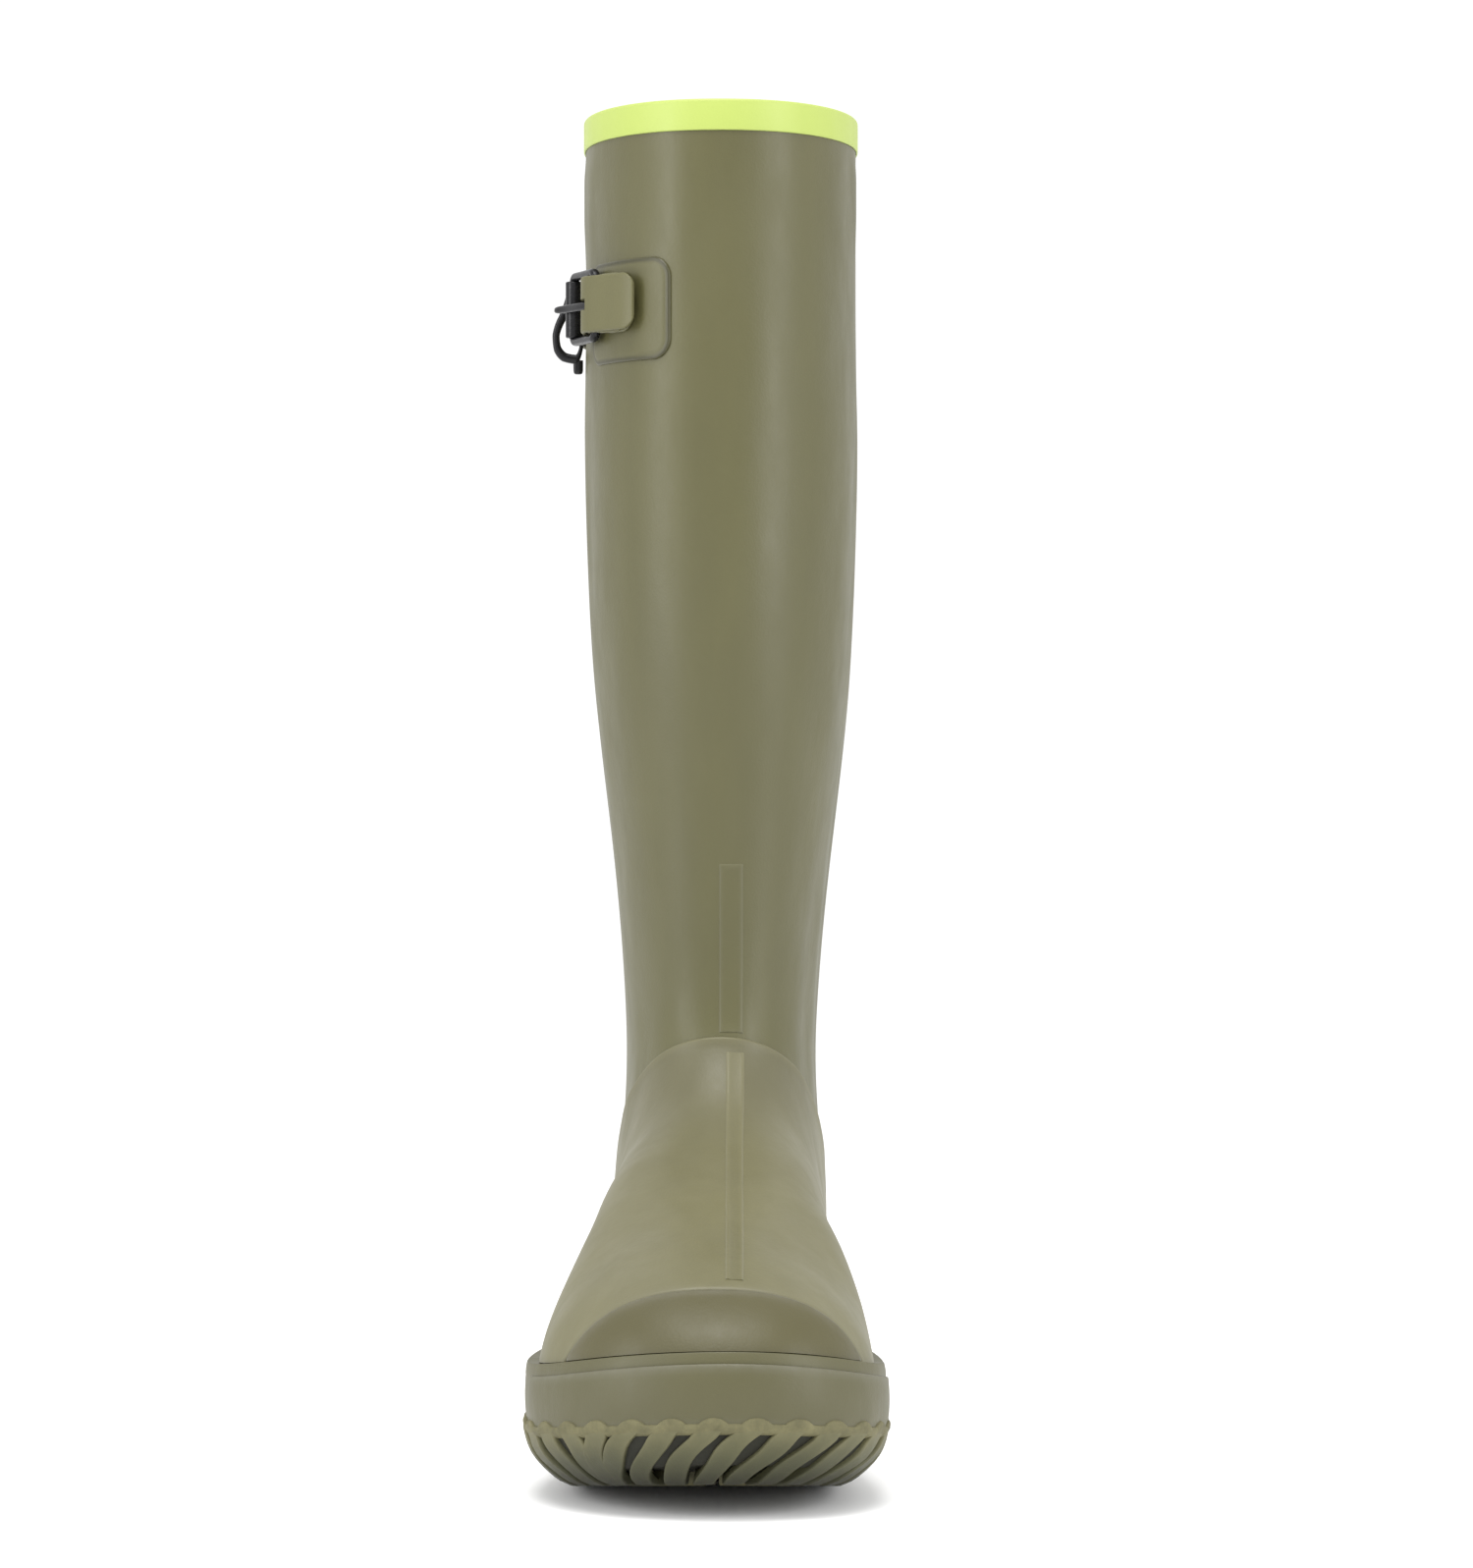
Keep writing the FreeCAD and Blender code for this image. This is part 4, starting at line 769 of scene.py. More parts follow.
shell_top = RIM - RIM_GAP
sock_top = shell_top - SOCK_DROP
insulation_start = UPPER_WALL + GLUE_GAP
insulation_end = insulation_start + INSULATION_WALL
lining_start = insulation_end + GLUE_GAP
lining_end = lining_start + LINING_WALL
shell_inside = boot_grid(UPPER_WALL, shell_top, AROUND, INSIDE_ALONG)
add_shell("rubber_upper", lowered_rim(boot.points, RIM_GAP), shell_inside)
bootie = add_shell("insulation_bootie", boot_grid(insulation_start, sock_top, AROUND, INSIDE_ALONG),
                   boot_grid(insulation_end, sock_top, AROUND, INSIDE_ALONG))
sock_inside = boot_grid(lining_end, sock_top, AROUND, ALONG)
sock = add_shell("lining_sock", boot_grid(lining_start, sock_top, AROUND, INSIDE_ALONG), sock_inside)

# ---------------------------------------------------------------- the shaft in plan view
SHAFT_MIDDLE = np.array([4.6, 72.0, 0.0])
SHAFT_HALVES = np.array([46.7, 77.0])
SHAFT_POWER = 2.15


def shaft_normal(angle):
    """The outward direction at an angle from the outer side of the leg towards the shin."""
    turn = np.radians(np.asarray(angle, float))
    return unit(in_space(-squared_circle(turn, 2 - 2 / SHAFT_POWER) / SHAFT_HALVES))


def shaft_point(angle, offset=0.0, height=0.0):
    """A point that stands off the shaft's surface at an angle and a height."""
    turn = np.radians(np.asarray(angle, float))
    surface = SHAFT_MIDDLE + in_space(-squared_circle(turn, 2 / SHAFT_POWER) * SHAFT_HALVES)
    points = surface + shaft_normal(angle) * np.asarray(offset, float)[..., None]
    return points + np.asarray(height, float)[..., None] * UP


# The binding's thickness over the rim and outside the shaft, and how far down its two skirts go.
BINDING_WALL = 1.2
BINDING_SKIRT = 0.6
BINDING_OUTSIDE = 10.5
BINDING_INSIDE = 8.0


def rounded_section(corners, radii, steps=5):
    """A closed outline of corners, each rounded by its own radius."""
    corners = np.array(corners, float)
    points = []
    for index, radius in enumerate(radii):
        corner = corners[index]
        before, after = unit(corners[index - 1] - corner), unit(corners[(index + 1) % len(corners)] - corner)
        for step in np.linspace(0, 1, steps):
            pull = (1 - step) ** 2 * before + step ** 2 * after
            points.append(corner + pull * radius)
    return np.array(points)


def add_binding():
    """The bright binding over the rim: a channel with a short skirt outside and one inside."""
    outside = GLUE_GAP + BINDING_SKIRT
    inside = -(lining_end + 0.3 + BINDING_WALL)
    corners = [(GLUE_GAP, -BINDING_OUTSIDE), (outside, -BINDING_OUTSIDE), (outside, 0), (inside, 0),
               (inside, -BINDING_INSIDE), (inside + BINDING_WALL, -BINDING_INSIDE),
               (inside + BINDING_WALL, -BINDING_WALL), (GLUE_GAP, -BINDING_WALL)]
    section = rounded_section(corners, (0.05, 0.5, 1.0, 1.4, 0.5, 0.5, 0.2, 0.2), 6)
    angles = np.linspace(0, 360, 361)[:-1]
    sweep("top_binding", [shaft_point(angles, offset, RIM + drop) for offset, drop in section])


add_binding()

# ---------------------------------------------------------------- rubber layers over the shell
OVERLAY_WALL = 1.1
TOE_CAP_WALL = 1.9
TOE_CAP_ROUND = 1.5
TOE_CAP_LIP = 0.2
BEADED_STRIP = 0.15
EMBED = 0.12
VAMP_EDGE = [(-2, 152), (-18, 142), (-45, 124), (-72, 98), (-88, 70), (-95, 44), (-98, 20)]
FOXING_CLEARANCE = 0.15
# The vamp's raised lips at its two edges, and how much darker it gets towards the ankle, between heights.
VAMP_BACK_LIP = 0.35
VAMP_FRONT_LIP = 0.08
VAMP_SHADE = -0.34
VAMP_SHADE_HEIGHTS = (88, 138)
COUNTER_TOP = 92.0
COUNTER_LIP = 0.25


def above_foxing(points):
    return points[..., 2] - foxing_top(-points[..., 1]) - FOXING_CLEARANCE


def ahead_of_line(low, high):
    """A test: how far a point is in front of a straight line in the side view."""
    (low_forward, low_height), (high_forward, high_height) = low, high

    def ahead(points):
        share = (points[..., 2] - low_height) / (high_height - low_height)
        return -points[..., 1] - (low_forward + share * (high_forward - low_forward))

    return ahead


vamp_line = smooth_line(VAMP_EDGE, 300)[::-1]


def above_vamp(points):
    return points[..., 2] - np.interp(-points[..., 1], vamp_line[:, 0], vamp_line[:, 1])


# Tests for the vamp's front edge and the toe cap's rear edge, half a millimetre apart, and the counter's.
before_cap = ahead_of_line((101.4, 20), (127.0, 80))
cap_back = ahead_of_line((101.9, 20), (127.5, 80))
counter_edge = ahead_of_line((-101, 47), (-111, 92))
HALF_TURN = np.linspace(-0.499, 0.499, 900)


def foxing_line(side, start, end):
    """The top of the foxing on one side of the foot, from the heel forward."""
    return edge_around(boot, np.linspace(start, end, 1400), above_foxing, 0.0, side * 0.5)


def lay(node, places, distance, start, wall, radius=None, lip=0.0, lip_at=1.6, tone=None):
    """A layer of rubber, with a low bead along its edges, over places (u, v) of the boot."""
    lift = ridge(lip, lip_at, 0.55 * lip_at, distance)
    outer = boot.at(places[..., 0], places[..., 1], start + wall + lift)
    inner = boot.at(places[..., 0], places[..., 1], np.full(distance.shape, start - EMBED))
    mesh = Mesh()
    mesh.block(outer, inner, distance, radius or wall, tone)
    mesh.piece(node)


def add_vamp():
    """The second layer of rubber over the instep, from its arched top edge to the toe cap."""
    back = trimmed(boot, edge_along(boot, HALF_TURN, above_vamp, 0.3, 1.0), above_foxing)
    front = trimmed(boot, edge_along(boot, HALF_TURN, before_cap, 0.3, 1.0), above_foxing)
    sides = []
    for side, place in ((-1, 0), (1, -1)):
        line = foxing_line(side, back[place, 1], front[place, 1])
        sides.append(np.vstack([back[place], line[1:-1], front[place]]))
    places, along, _ = four_sided(boot, back, front, *sides)
    along = np.broadcast_to(along, places.shape[:-1])
    rows = np.arange(len(places))[:, None]
    lip = np.where(rows < len(places) / 2, VAMP_BACK_LIP, VAMP_FRONT_LIP)
    height = boot.at(places[..., 0], places[..., 1])[..., 2]
    tone = VAMP_SHADE * smooth_step(*VAMP_SHADE_HEIGHTS, height)
    lay("vamp_overlay", places, along, GLUE_GAP, OVERLAY_WALL, lip=lip, tone=tone)


def add_toe_cap():
    """The thicker layer over the toes, with an arched edge."""
    back = trimmed(boot, edge_along(boot, HALF_TURN, cap_back, 0.3, 1.0), above_foxing)
    outer, inner = (np.vstack([back[place], foxing_line(side, back[place, 1], 1.0)[1:]])
                    for side, place in ((-1, 0), (1, -1)))
    places, distance = two_sided(boot, back, np.vstack([outer, inner[::-1]]))
    distance = np.maximum.accumulate(distance, axis=0)
    lay("toe_cap", places, distance, GLUE_GAP, TOE_CAP_WALL, TOE_CAP_ROUND, TOE_CAP_LIP)


def round_heel(test, front_test):
    """A line round the back of the heel, from the outer side to the inner side."""
    parts = []
    for side in (-1, 1):
        line = edge_around(boot, np.linspace(0.4, 0.85, 1400), test, 0.0, side * 0.5)
        parts.append(trimmed(boot, line, lambda points: -front_test(points)))
    outer, inner = parts
    outer[:, 0] += 1
    upward = outer[0, 1] < outer[-1, 1]
    return np.vstack([outer[::-1], inner] if upward else [outer, inner[::-1]])


def add_heel_counter():
    """The outer layer round the heel."""
    low = round_heel(above_foxing, counter_edge)
    high = round_heel(at_height(COUNTER_TOP), counter_edge)
    ends = []
    for side, shift, place in ((-1, 1, 0), (1, 0, -1)):
        vs = np.linspace(*sorted((high[place, 1], low[place, 1])), 200)
        line = edge_around(boot, vs, counter_edge, 0.0, side * 0.5)
        line[:, 0] += shift
        ends.append(line)
    places, *distances = four_sided(boot, low, high, *ends)
    lay("heel_counter", places, np.minimum(*distances), GLUE_GAP, OVERLAY_WALL, lip=COUNTER_LIP)


def strip_places(side, half_width, test_low, test_high, near, begin=0.0):
    """Places over a strip of even width along the front (near 0) or back (near 0.5) of the boot."""
    middle = np.array([near])
    start = edge_along(boot, middle, test_low, begin)[0, 1]
    end = edge_along(boot, middle, test_high, begin)[0, 1]
    length = line_length(boot, np.column_stack([np.full(50, near), np.linspace(start, end, 50)]))
    vs = start + (end - start) * edge_steps(abs(length), 2.5)
    t = edge_steps(2 * half_width, 1.5)
    wanted = side + half_width * (2 * t - 1)
    window = near + np.linspace(-0.2, 0.2, 241)
    places = np.zeros((len(vs), len(t), 2))
    for row, v in enumerate(vs):
        across = boot.at(window, v)[:, 0]
        order = np.argsort(across)
        places[row, :, 0] = np.interp(wanted, across[order], window[order])
        places[row, :, 1] = v
    shares = (vs - start) / (end - start)
    return places, *edge_distances(shares, t, length, 2 * half_width)


def at_height(height):
    return lambda points: points[..., 2] - height


def at_forward(forward):
    return lambda points: -points[..., 1] - forward


# Each strip: where its middle is from side to side, its half width, and its two ends.
STAY = (SHAFT_MIDDLE[0], 9.0, at_height(446.2), at_height(92.4))
SHIN = (8.2, 4.0, at_height(201.6), at_height(144.6))
INSTEP = (9.3, 3.0, at_forward(-13.5), at_forward(117.0))


def add_strips():
    """The strips up the back and the shin, and the raised line down the instep."""
    places, *distances = strip_places(*STAY, 0.5)
    lay("back_stay", places, np.minimum(*distances), GLUE_GAP, OVERLAY_WALL, lip=0.2)
    places, *distances = strip_places(*SHIN, 0.0)
    lay("shin_strip", places, np.minimum(*distances), GLUE_GAP, BEADED_STRIP, 0.5, 0.12, 1.1, 0.0)
    places, _, aside = strip_places(*INSTEP, 0.0, 0.5)
    # Its tone below 0 paints shade into the middle of the raised line, between its lighter beaded edges.
    lay("vamp_ridge", places, aside, GLUE_GAP + OVERLAY_WALL, BEADED_STRIP, 0.5, 0.2, 0.9, -0.12)


add_vamp()
add_toe_cap()
add_heel_counter()
add_strips()

# ---------------------------------------------------------------- strap patches
PATCH_WALL = 1.1
PATCH_LOW = 370.5
PATCH_HIGH = 405.0
PATCH_CORNER = 7.0
PATCHES = {"front_strap_patch": (25.0, 71.0), "rear_strap_patch": (-70.0, -32.0)}
PATCH_RINGS = np.array([0, 0.06, 0.18, 0.36, 0.6, 0.85, 1.2, 1.6, 2.0, 2.5, 3.2, 4.5])
PATCH_MIDDLE = np.linspace(0.88, 0.0, 9)
SIDE_STEPS = 24
# The groove just inside a patch's edge: its depth, place and width, and the shadow painted along the edge.
GROOVE = (-0.25, 1.5, 0.8)
EDGE_PAINTED_SHADOW = (-0.75, 0.7, 0.9)


def rounded_loop(half_wide, half_high, radius, steps=12):
    """Points round a rectangle with round corners, and along its straight sides."""
    points = []
    corner = np.array([half_wide - radius, half_high - radius])
    for quarter in range(4):
        turn = np.pi / 2 * (quarter + np.linspace(0, 1, steps))
        arc = np.column_stack([np.cos(turn), np.sin(turn)])
        points.append(corner * np.sign(arc[1]) + radius * arc)
    loop = []
    for arc, following in zip(points, points[1:] + points[:1]):
        loop += [arc, np.linspace(arc[-1], following[0], SIDE_STEPS + 2)[1:-1]]
    return np.vstack(loop)


def add_patch(node, start, end):
    """A rubber patch with round corners on the shaft, between two angles."""
    angles = np.linspace(start, end, 400)
    distance = travelled(shaft_point(angles))
    half_wide, half_high = distance[-1] / 2, (PATCH_HIGH - PATCH_LOW) / 2
    loops = [rounded_loop(half_wide - depth, half_high - depth, max(PATCH_CORNER - depth, 1.0))
             for depth in PATCH_RINGS]
    loops += [loops[-1] * share for share in PATCH_MIDDLE]
    depth = np.append(PATCH_RINGS, np.full(len(PATCH_MIDDLE), 2 * PATCH_RINGS[-1]))[:, None]
    flat = np.array(loops)
    angle = np.interp(flat[..., 0] + half_wide, distance, angles)
    height = flat[..., 1] + (PATCH_LOW + PATCH_HIGH) / 2
    lift = np.broadcast_to(PATCH_WALL * rounding(depth, PATCH_WALL) + ridge(*GROOVE, depth), angle.shape)
    mesh = Mesh()
    # The mark below 0 near the edge paints a shadow round the patch.
    top = mesh.add(shaft_point(angle, GLUE_GAP + lift, height), ridge(*EDGE_PAINTED_SHADOW, depth))
    base = mesh.add(shaft_point(angle, np.full(angle.shape, GLUE_GAP - EMBED), height))
    for index in (top, base, np.array([top[0], base[0]])):
        mesh.join(quads(index, wrap_columns=True))
    mesh.piece(node)


for patch, (patch_start, patch_end) in PATCHES.items():
    add_patch(patch, patch_start, patch_end)


# ---------------------------------------------------------------- the sole's side wall
OUTLINE = [(4.0, -149.1), (-17.0, -144.5), (-31.0, -129), (-37.6, -106), (-39.6, -80), (-40.8, -50),
           (-43.8, -20), (-49.0, 10), (-54.4, 38), (-56.9, 64), (-55.8, 86), (-50.0, 106),
           (-40.0, 124), (-26.5, 138), (-10.0, 146.2), (7.5, 149.1), (25.5, 145.2), (41.0, 134),
           (51.5, 117), (56.3, 97), (56.9, 77), (55.6, 54), (52.0, 28), (47.4, -2),
           (44.6, -34), (44.0, -66), (43.8, -96), (39.8, -122), (26.5, -142)]
# How far the wall stands inside that outline, against how far up it is from the ground (0) to the
# foot of the foxing (1).
WALL_CURVE = [(0.0, 18.0), (0.13, 12.0), (0.34, 6.8), (0.62, 2.4), (1.0, 0.0)]
FOXING_LEAN_TOP = 60.0
FOXING_LEAN = 4.4
BELOW_GROUND = -20.0
WALL_COLUMNS = 960
WALL_ROWS = 400


def outline_at(places, inset):
    """Plan points (x, y) of the sole's outline, moved inward by inset."""
    places = np.asarray(places, float)
    step = 1e-4
    flat = places.reshape(-1)
    point = closed_line(OUTLINE, flat)
    slope = unit(closed_line(OUTLINE, flat + step) - closed_line(OUTLINE, flat - step))
    inward = np.column_stack([slope[:, 1], -slope[:, 0]])
    moved = point + inward * np.broadcast_to(np.asarray(inset, float), places.shape).reshape(-1, 1)
    return (moved * np.array([1.0, -1.0])).reshape(places.shape + (2,))


def wall_inward(places):
    """The level directions into the foot at places round the outline."""
    return unit(in_space(outline_at(places, 3.0) - outline_at(places, 0.0)))


def wall_ring(places, inset, climb=None, height=None):
    """A ring of the wall at one height, or at one share of the way up to the foxing's foot."""
    plan = outline_at(places, inset)
    if height is None:
        forward = -plan[:, 1]
        low, high = ground_height(forward), foxing_foot(forward)
        height = low + (high - low) * climb
    return np.column_stack([plan, np.broadcast_to(height, len(plan))])


wall_places = np.arange(WALL_COLUMNS) / WALL_COLUMNS
wall_rings = [wall_ring(wall_places, WALL_CURVE[0][1], height=BELOW_GROUND)]
wall_rings += [wall_ring(wall_places, inset, climb) for climb, inset in WALL_CURVE]
wall_rings.append(wall_ring(wall_places, FOXING_LEAN, height=FOXING_LEAN_TOP))
wall = Surface(stack(wall_rings, WALL_ROWS))


def wall_at(places, heights, outset=0.0):
    """Points of the sole's wall at places round it and at heights, moved out by outset."""
    places, heights, outset = np.broadcast_arrays(places, heights, outset)
    flat = places.reshape(-1)
    column = (flat % 1.0) * WALL_COLUMNS
    left = column.astype(int) % WALL_COLUMNS
    share = column - np.floor(column)
    levels = wall.points[:, left, 2] * (1 - share) + wall.points[:, (left + 1) % WALL_COLUMNS, 2] * share
    rows = np.array([np.interp(height, level, np.linspace(0, 1, WALL_ROWS))
                     for height, level in zip(heights.reshape(-1), levels.T)])
    return wall.at(places, rows.reshape(places.shape), outset)


def wall_between(places, shares, low, high, outset=0.0):
    """Wall points at shares of the way between two height lines, which depend on forward."""
    shape = np.broadcast_shapes(np.shape(places), np.shape(shares))
    forward = np.broadcast_to(-outline_at(places, 0.0)[..., 1], shape)
    for _ in range(2):
        height = low(forward) + (high(forward) - low(forward)) * shares
        points = wall_at(places, height, outset)
        forward = -points[..., 1]
    return points


def boot_tree(points):
    """A ray-casting tree over a grid of points."""
    index = np.arange(points.shape[0] * points.shape[1]).reshape(points.shape[:2])
    faces = quads(index, wrap_columns=True).tolist()
    faces += [index[0].tolist(), index[-1].tolist()]
    return BVHTree.FromPolygons(points.reshape(-1, 3).tolist(), faces)


def reach(tree, points, directions, limit):
    """The distance from each point to the tree's surface, or limit where nothing is met."""
    flat = points.reshape(-1, 3)
    ways = np.broadcast_to(directions, points.shape).reshape(-1, 3)
    found = []
    for point, way in zip(flat, ways):
        hit = tree.ray_cast(Vector(point), Vector(way), limit)[3]
        found.append(limit if hit is None else hit)
    return np.array(found).reshape(points.shape[:-1])


skin_tree = boot_tree(smooth_boot.points)
ROUND = np.arange(720) / 720
BEAD_HEIGHT = 4.0
BEAD = 0.16
BEAD_DIP = -0.03
# Shares of the way up the plain wall, and the rounding at its foot: its radius and its share of the way up.
FOXING_RISE = np.array([0, 0.012, 0.04, 0.09, 0.2, 0.32, 0.44, 0.56, 0.64])
FOOT_ROUND = 0.8
FOOT_ROUND_SHARE = 0.05
FOXING_DEEPEST = 22.0
FOXING_GAP = 0.02


def add_foxing():
    """The rubber band round the foot: a rounded bead along its top over a plain wall."""

    def at_share(share, outset=0.0):
        return wall_between(ROUND[:, None], share, foxing_foot, foxing_top, outset)

    lower = at_share(FOXING_RISE[None])
    tuck = FOOT_ROUND * (1 - rounding(FOXING_RISE, FOOT_ROUND_SHARE))
    height = (at_share(np.ones((1, 1)))[:, 0] - lower[:, 0])[:, 2]
    inward = wall_inward(ROUND)
    sections = list(np.moveaxis(lower + inward[:, None] * tuck[None, :, None], 1, 0)[:-1])
    # The bead and the dip under it: distance below the top and distance out from the wall.
    middle = BEAD_HEIGHT / 2
    turns = np.radians([-58, -40, -20, 0, 20, 40, 58, 74, 90])
    outside = [(BEAD_HEIGHT + 0.9, 0.0), (BEAD_HEIGHT + 0.4, BEAD_DIP), (BEAD_HEIGHT + 0.1, 0.0)]
    outside += [(middle - middle * math.sin(turn), BEAD * math.cos(turn)) for turn in turns]
    sections += [at_share(1 - below / height[:, None], out)[:, 0] for below, out in outside]
    shelf = sections[-1]
    for step, drop in ((0.5, 0.05), (1.1, 0.0)):
        point = shelf + inward * step
        point[:, 2] = foxing_top(-point[:, 1]) - drop
        sections.append(point)
    for share in (1.0, 0.62, 0.3, 0.0):
        start = at_share(np.full((1, 1), share))[:, 0]
        depth = reach(skin_tree, start, inward, FOXING_DEEPEST)
        point = start + inward * (depth - FOXING_GAP)[:, None]
        if share in (0.0, 1.0):
            point[:, 2] = (foxing_top if share else foxing_foot)(-point[:, 1])
        sections.append(point)
    sweep("foxing_band", sections)


BUMPER_START = 93.0
BUMPER_WALL = 0.9
BUMPER_WIDTH = 19.0
BUMPER_EMBED = 0.15
BUMPER_MARGIN = 0.3
BUMPER_MIDDLE = 30.0


def add_bumper():
    """The second layer of rubber on the foxing, round the front of the foot."""
    inside = ROUND[-outline_at(ROUND, 0.0)[:, 1] > BUMPER_START]
    start, end = inside[0], inside[-1]
    length = travelled(wall_at(np.linspace(start, end, 200), BUMPER_MIDDLE))[-1]
    s, t = edge_steps(length, 2.2), edge_steps(20.0, 1.6)
    places = (start + (end - start) * s)[None]

    def low(forward):
        return foxing_foot(forward) + BUMPER_MARGIN

    def high(forward):
        return foxing_top(forward) - BEAD_HEIGHT

    outer = wall_between(places, t[:, None], low, high, GLUE_GAP + BUMPER_WALL)
    inner = wall_between(places, t[:, None], low, high, -BUMPER_EMBED)
    distances = edge_distances(t, s, BUMPER_WIDTH, length)
    mesh = Mesh()
    mesh.block(outer, inner, np.minimum(*distances), BUMPER_WALL)
    mesh.piece("toe_bumper")


OUTSOLE_PLATE = 4.0
OUTSOLE_RIM = 5.0
HALF_RING = 220


def paired_places():
    """Places round the outline with matching points on its two sides, heel first."""
    fine = np.linspace(0, 1, 4001)
    line = outline_at(fine, 0.0)
    heel, toe = line[:, 1].argmax() / 4000, line[:, 1].argmin() / 4000
    if heel > 0.5:
        heel -= 1
    outer = np.linspace(heel, toe, HALF_RING + 1)
    inner = np.linspace(toe, heel + 1, HALF_RING + 1)
    even = []
    for side in (outer, inner):
        distance = travelled(outline_at(side, 0.0))
        even.append(np.interp(np.linspace(0, distance[-1], HALF_RING + 1), distance, side)[:-1])
    return np.concatenate(even)


def ladder(mesh, ring, height_at, steps=14):
    """Fills a closed ring whose two sides match, with inner points set at height_at(points)."""
    left, right = ring[:HALF_RING + 1], np.vstack([ring[:1], ring[:HALF_RING - 1:-1]])
    share = np.linspace(0, 1, steps)[None, :, None]
    points = left[:, None] * (1 - share) + right[:, None] * share
    points[:, 1:-1, 2] = height_at(points)[:, 1:-1]
    mesh.join(quads(mesh.add(points)))


def add_outsole():
    """The tread's base: its wall, its floor inside, its underside and its scalloped rim."""
    places = paired_places()

    def foot(forward):
        return foxing_foot(forward) - GLUE_GAP

    climbs = np.array([0, 0.03, 0.1, 0.25, 0.45, 0.65, 0.82, 0.94, 0.985, 1.0])
    outer = wall_between(places[:, None], climbs[None], tread_base, foot)
    inset = np.array([1.0, 2.2, OUTSOLE_RIM])
    inward = wall_inward(places)
    rims = [outer[:, -1] + inward * step for step in inset]
    for rim in rims:
        rim[:, 2] = foot(-rim[:, 1])
    floor = outer[:, 3] + inward * OUTSOLE_RIM
    floor[:, 2] = tread_base(-floor[:, 1]) + OUTSOLE_PLATE
    rows = np.concatenate([np.moveaxis(outer, 1, 0), rims, [floor]])
    mesh = Mesh()
    # The wall and underside carry no mark, so they take the sole's dark base colour: shade painted into the
    # grooves between the lugs.
    mesh.join(quads(mesh.add(rows), wrap_columns=True))
    ladder(mesh, rows[0], lambda points: tread_base(-points[..., 1]))
    ladder(mesh, floor, lambda points: tread_base(-points[..., 1]) + OUTSOLE_PLATE)
    add_tread_rim(mesh)
    mesh.piece("outsole")


EDGE_LUGS = 40
LUG_SHARE = 0.68
LUG_REACH = 23.0
ARCH_START = -72.0
ARCH_END = -14.0
LUG_WRAP = 1.5
RIM_WALL = 1.35
HUMP = 1.9
RIM_LIFT = 2.4
RIM_DROP = 1.6
# The rim's section: how far up it, and how far out of the wall.
RIM_SECTION = [(0, -0.3), (0.02, 0.1), (0.12, 0.42), (0.3, 0.75), (0.55, 0.98), (0.8, 0.95),
               (0.93, 0.78), (0.985, 0.45), (1.0, -0.15), (0.8, -0.4), (0.3, -0.4)]
GROOVE_SLANT = 1.05
LUG_OVERLAP = 1.6
OUTLINE_LENGTH = 780.0
# The height above the ground at which a lug is palest, near the rim's colour. Below it the lug gets darker
# towards the ground: painted shade.
LUG_PALE = 17.0
# The waviness of a lug's sides: its size, the distance over which it begins, its wave and its shift.
WOBBLE = 1.1
WOBBLE_FADE = 6
WOBBLE_LENGTH = 3.4
WOBBLE_SHIFT = 1.9
# The way down a lug: its length, the part of it on the wall, how deep its back is in the wall, and how
# high its root is under the sole.
LUG_PATH = 36.0
LUG_ON_WALL = 28.0
LUG_EMBED = 1.2
LUG_ROOT = 6.0
LUG_ROUND = 0.9


def hump_height(places):
    """How high the tread's scalloped rim rises over each lug."""
    phase = (places * EDGE_LUGS) % 1.0 / LUG_SHARE
    hump = np.where(phase < 1, np.sin(np.pi * np.clip(phase, 0, 1)) ** 0.7, 0.0)
    return HUMP * hump


def add_tread_rim(mesh):
    """The scalloped rim of the tread, which laps up over the foot of the foxing."""
    places = np.arange(1600) / 1600
    forward = -outline_at(places, 0.0)[:, 1]
    foot = foxing_foot(forward)
    peak = foot + RIM_LIFT + hump_height(places)
    base = foot - RIM_DROP
    wrap = RIM_WALL + 0.6 * smooth_step(BUMPER_START - 4, BUMPER_START, forward)
    rows = [wall_at(places, base + (peak - base) * share, out * wrap) for share, out in RIM_SECTION]
    mesh.ring(np.stack(rows, axis=1), 1.0)


def slant_at(places):
    """How far the grooves of the tread lean, in places per millimetre down the wall."""
    outer_side = 1 - smooth_step(0.40, 0.46, places % 1.0)
    return GROOVE_SLANT * (1.4 * outer_side - 1) / OUTLINE_LENGTH


def lug_top(forward):
    """The top of the lugs, a little above the foot of the foxing."""
    return foxing_foot(forward) + LUG_OVERLAP


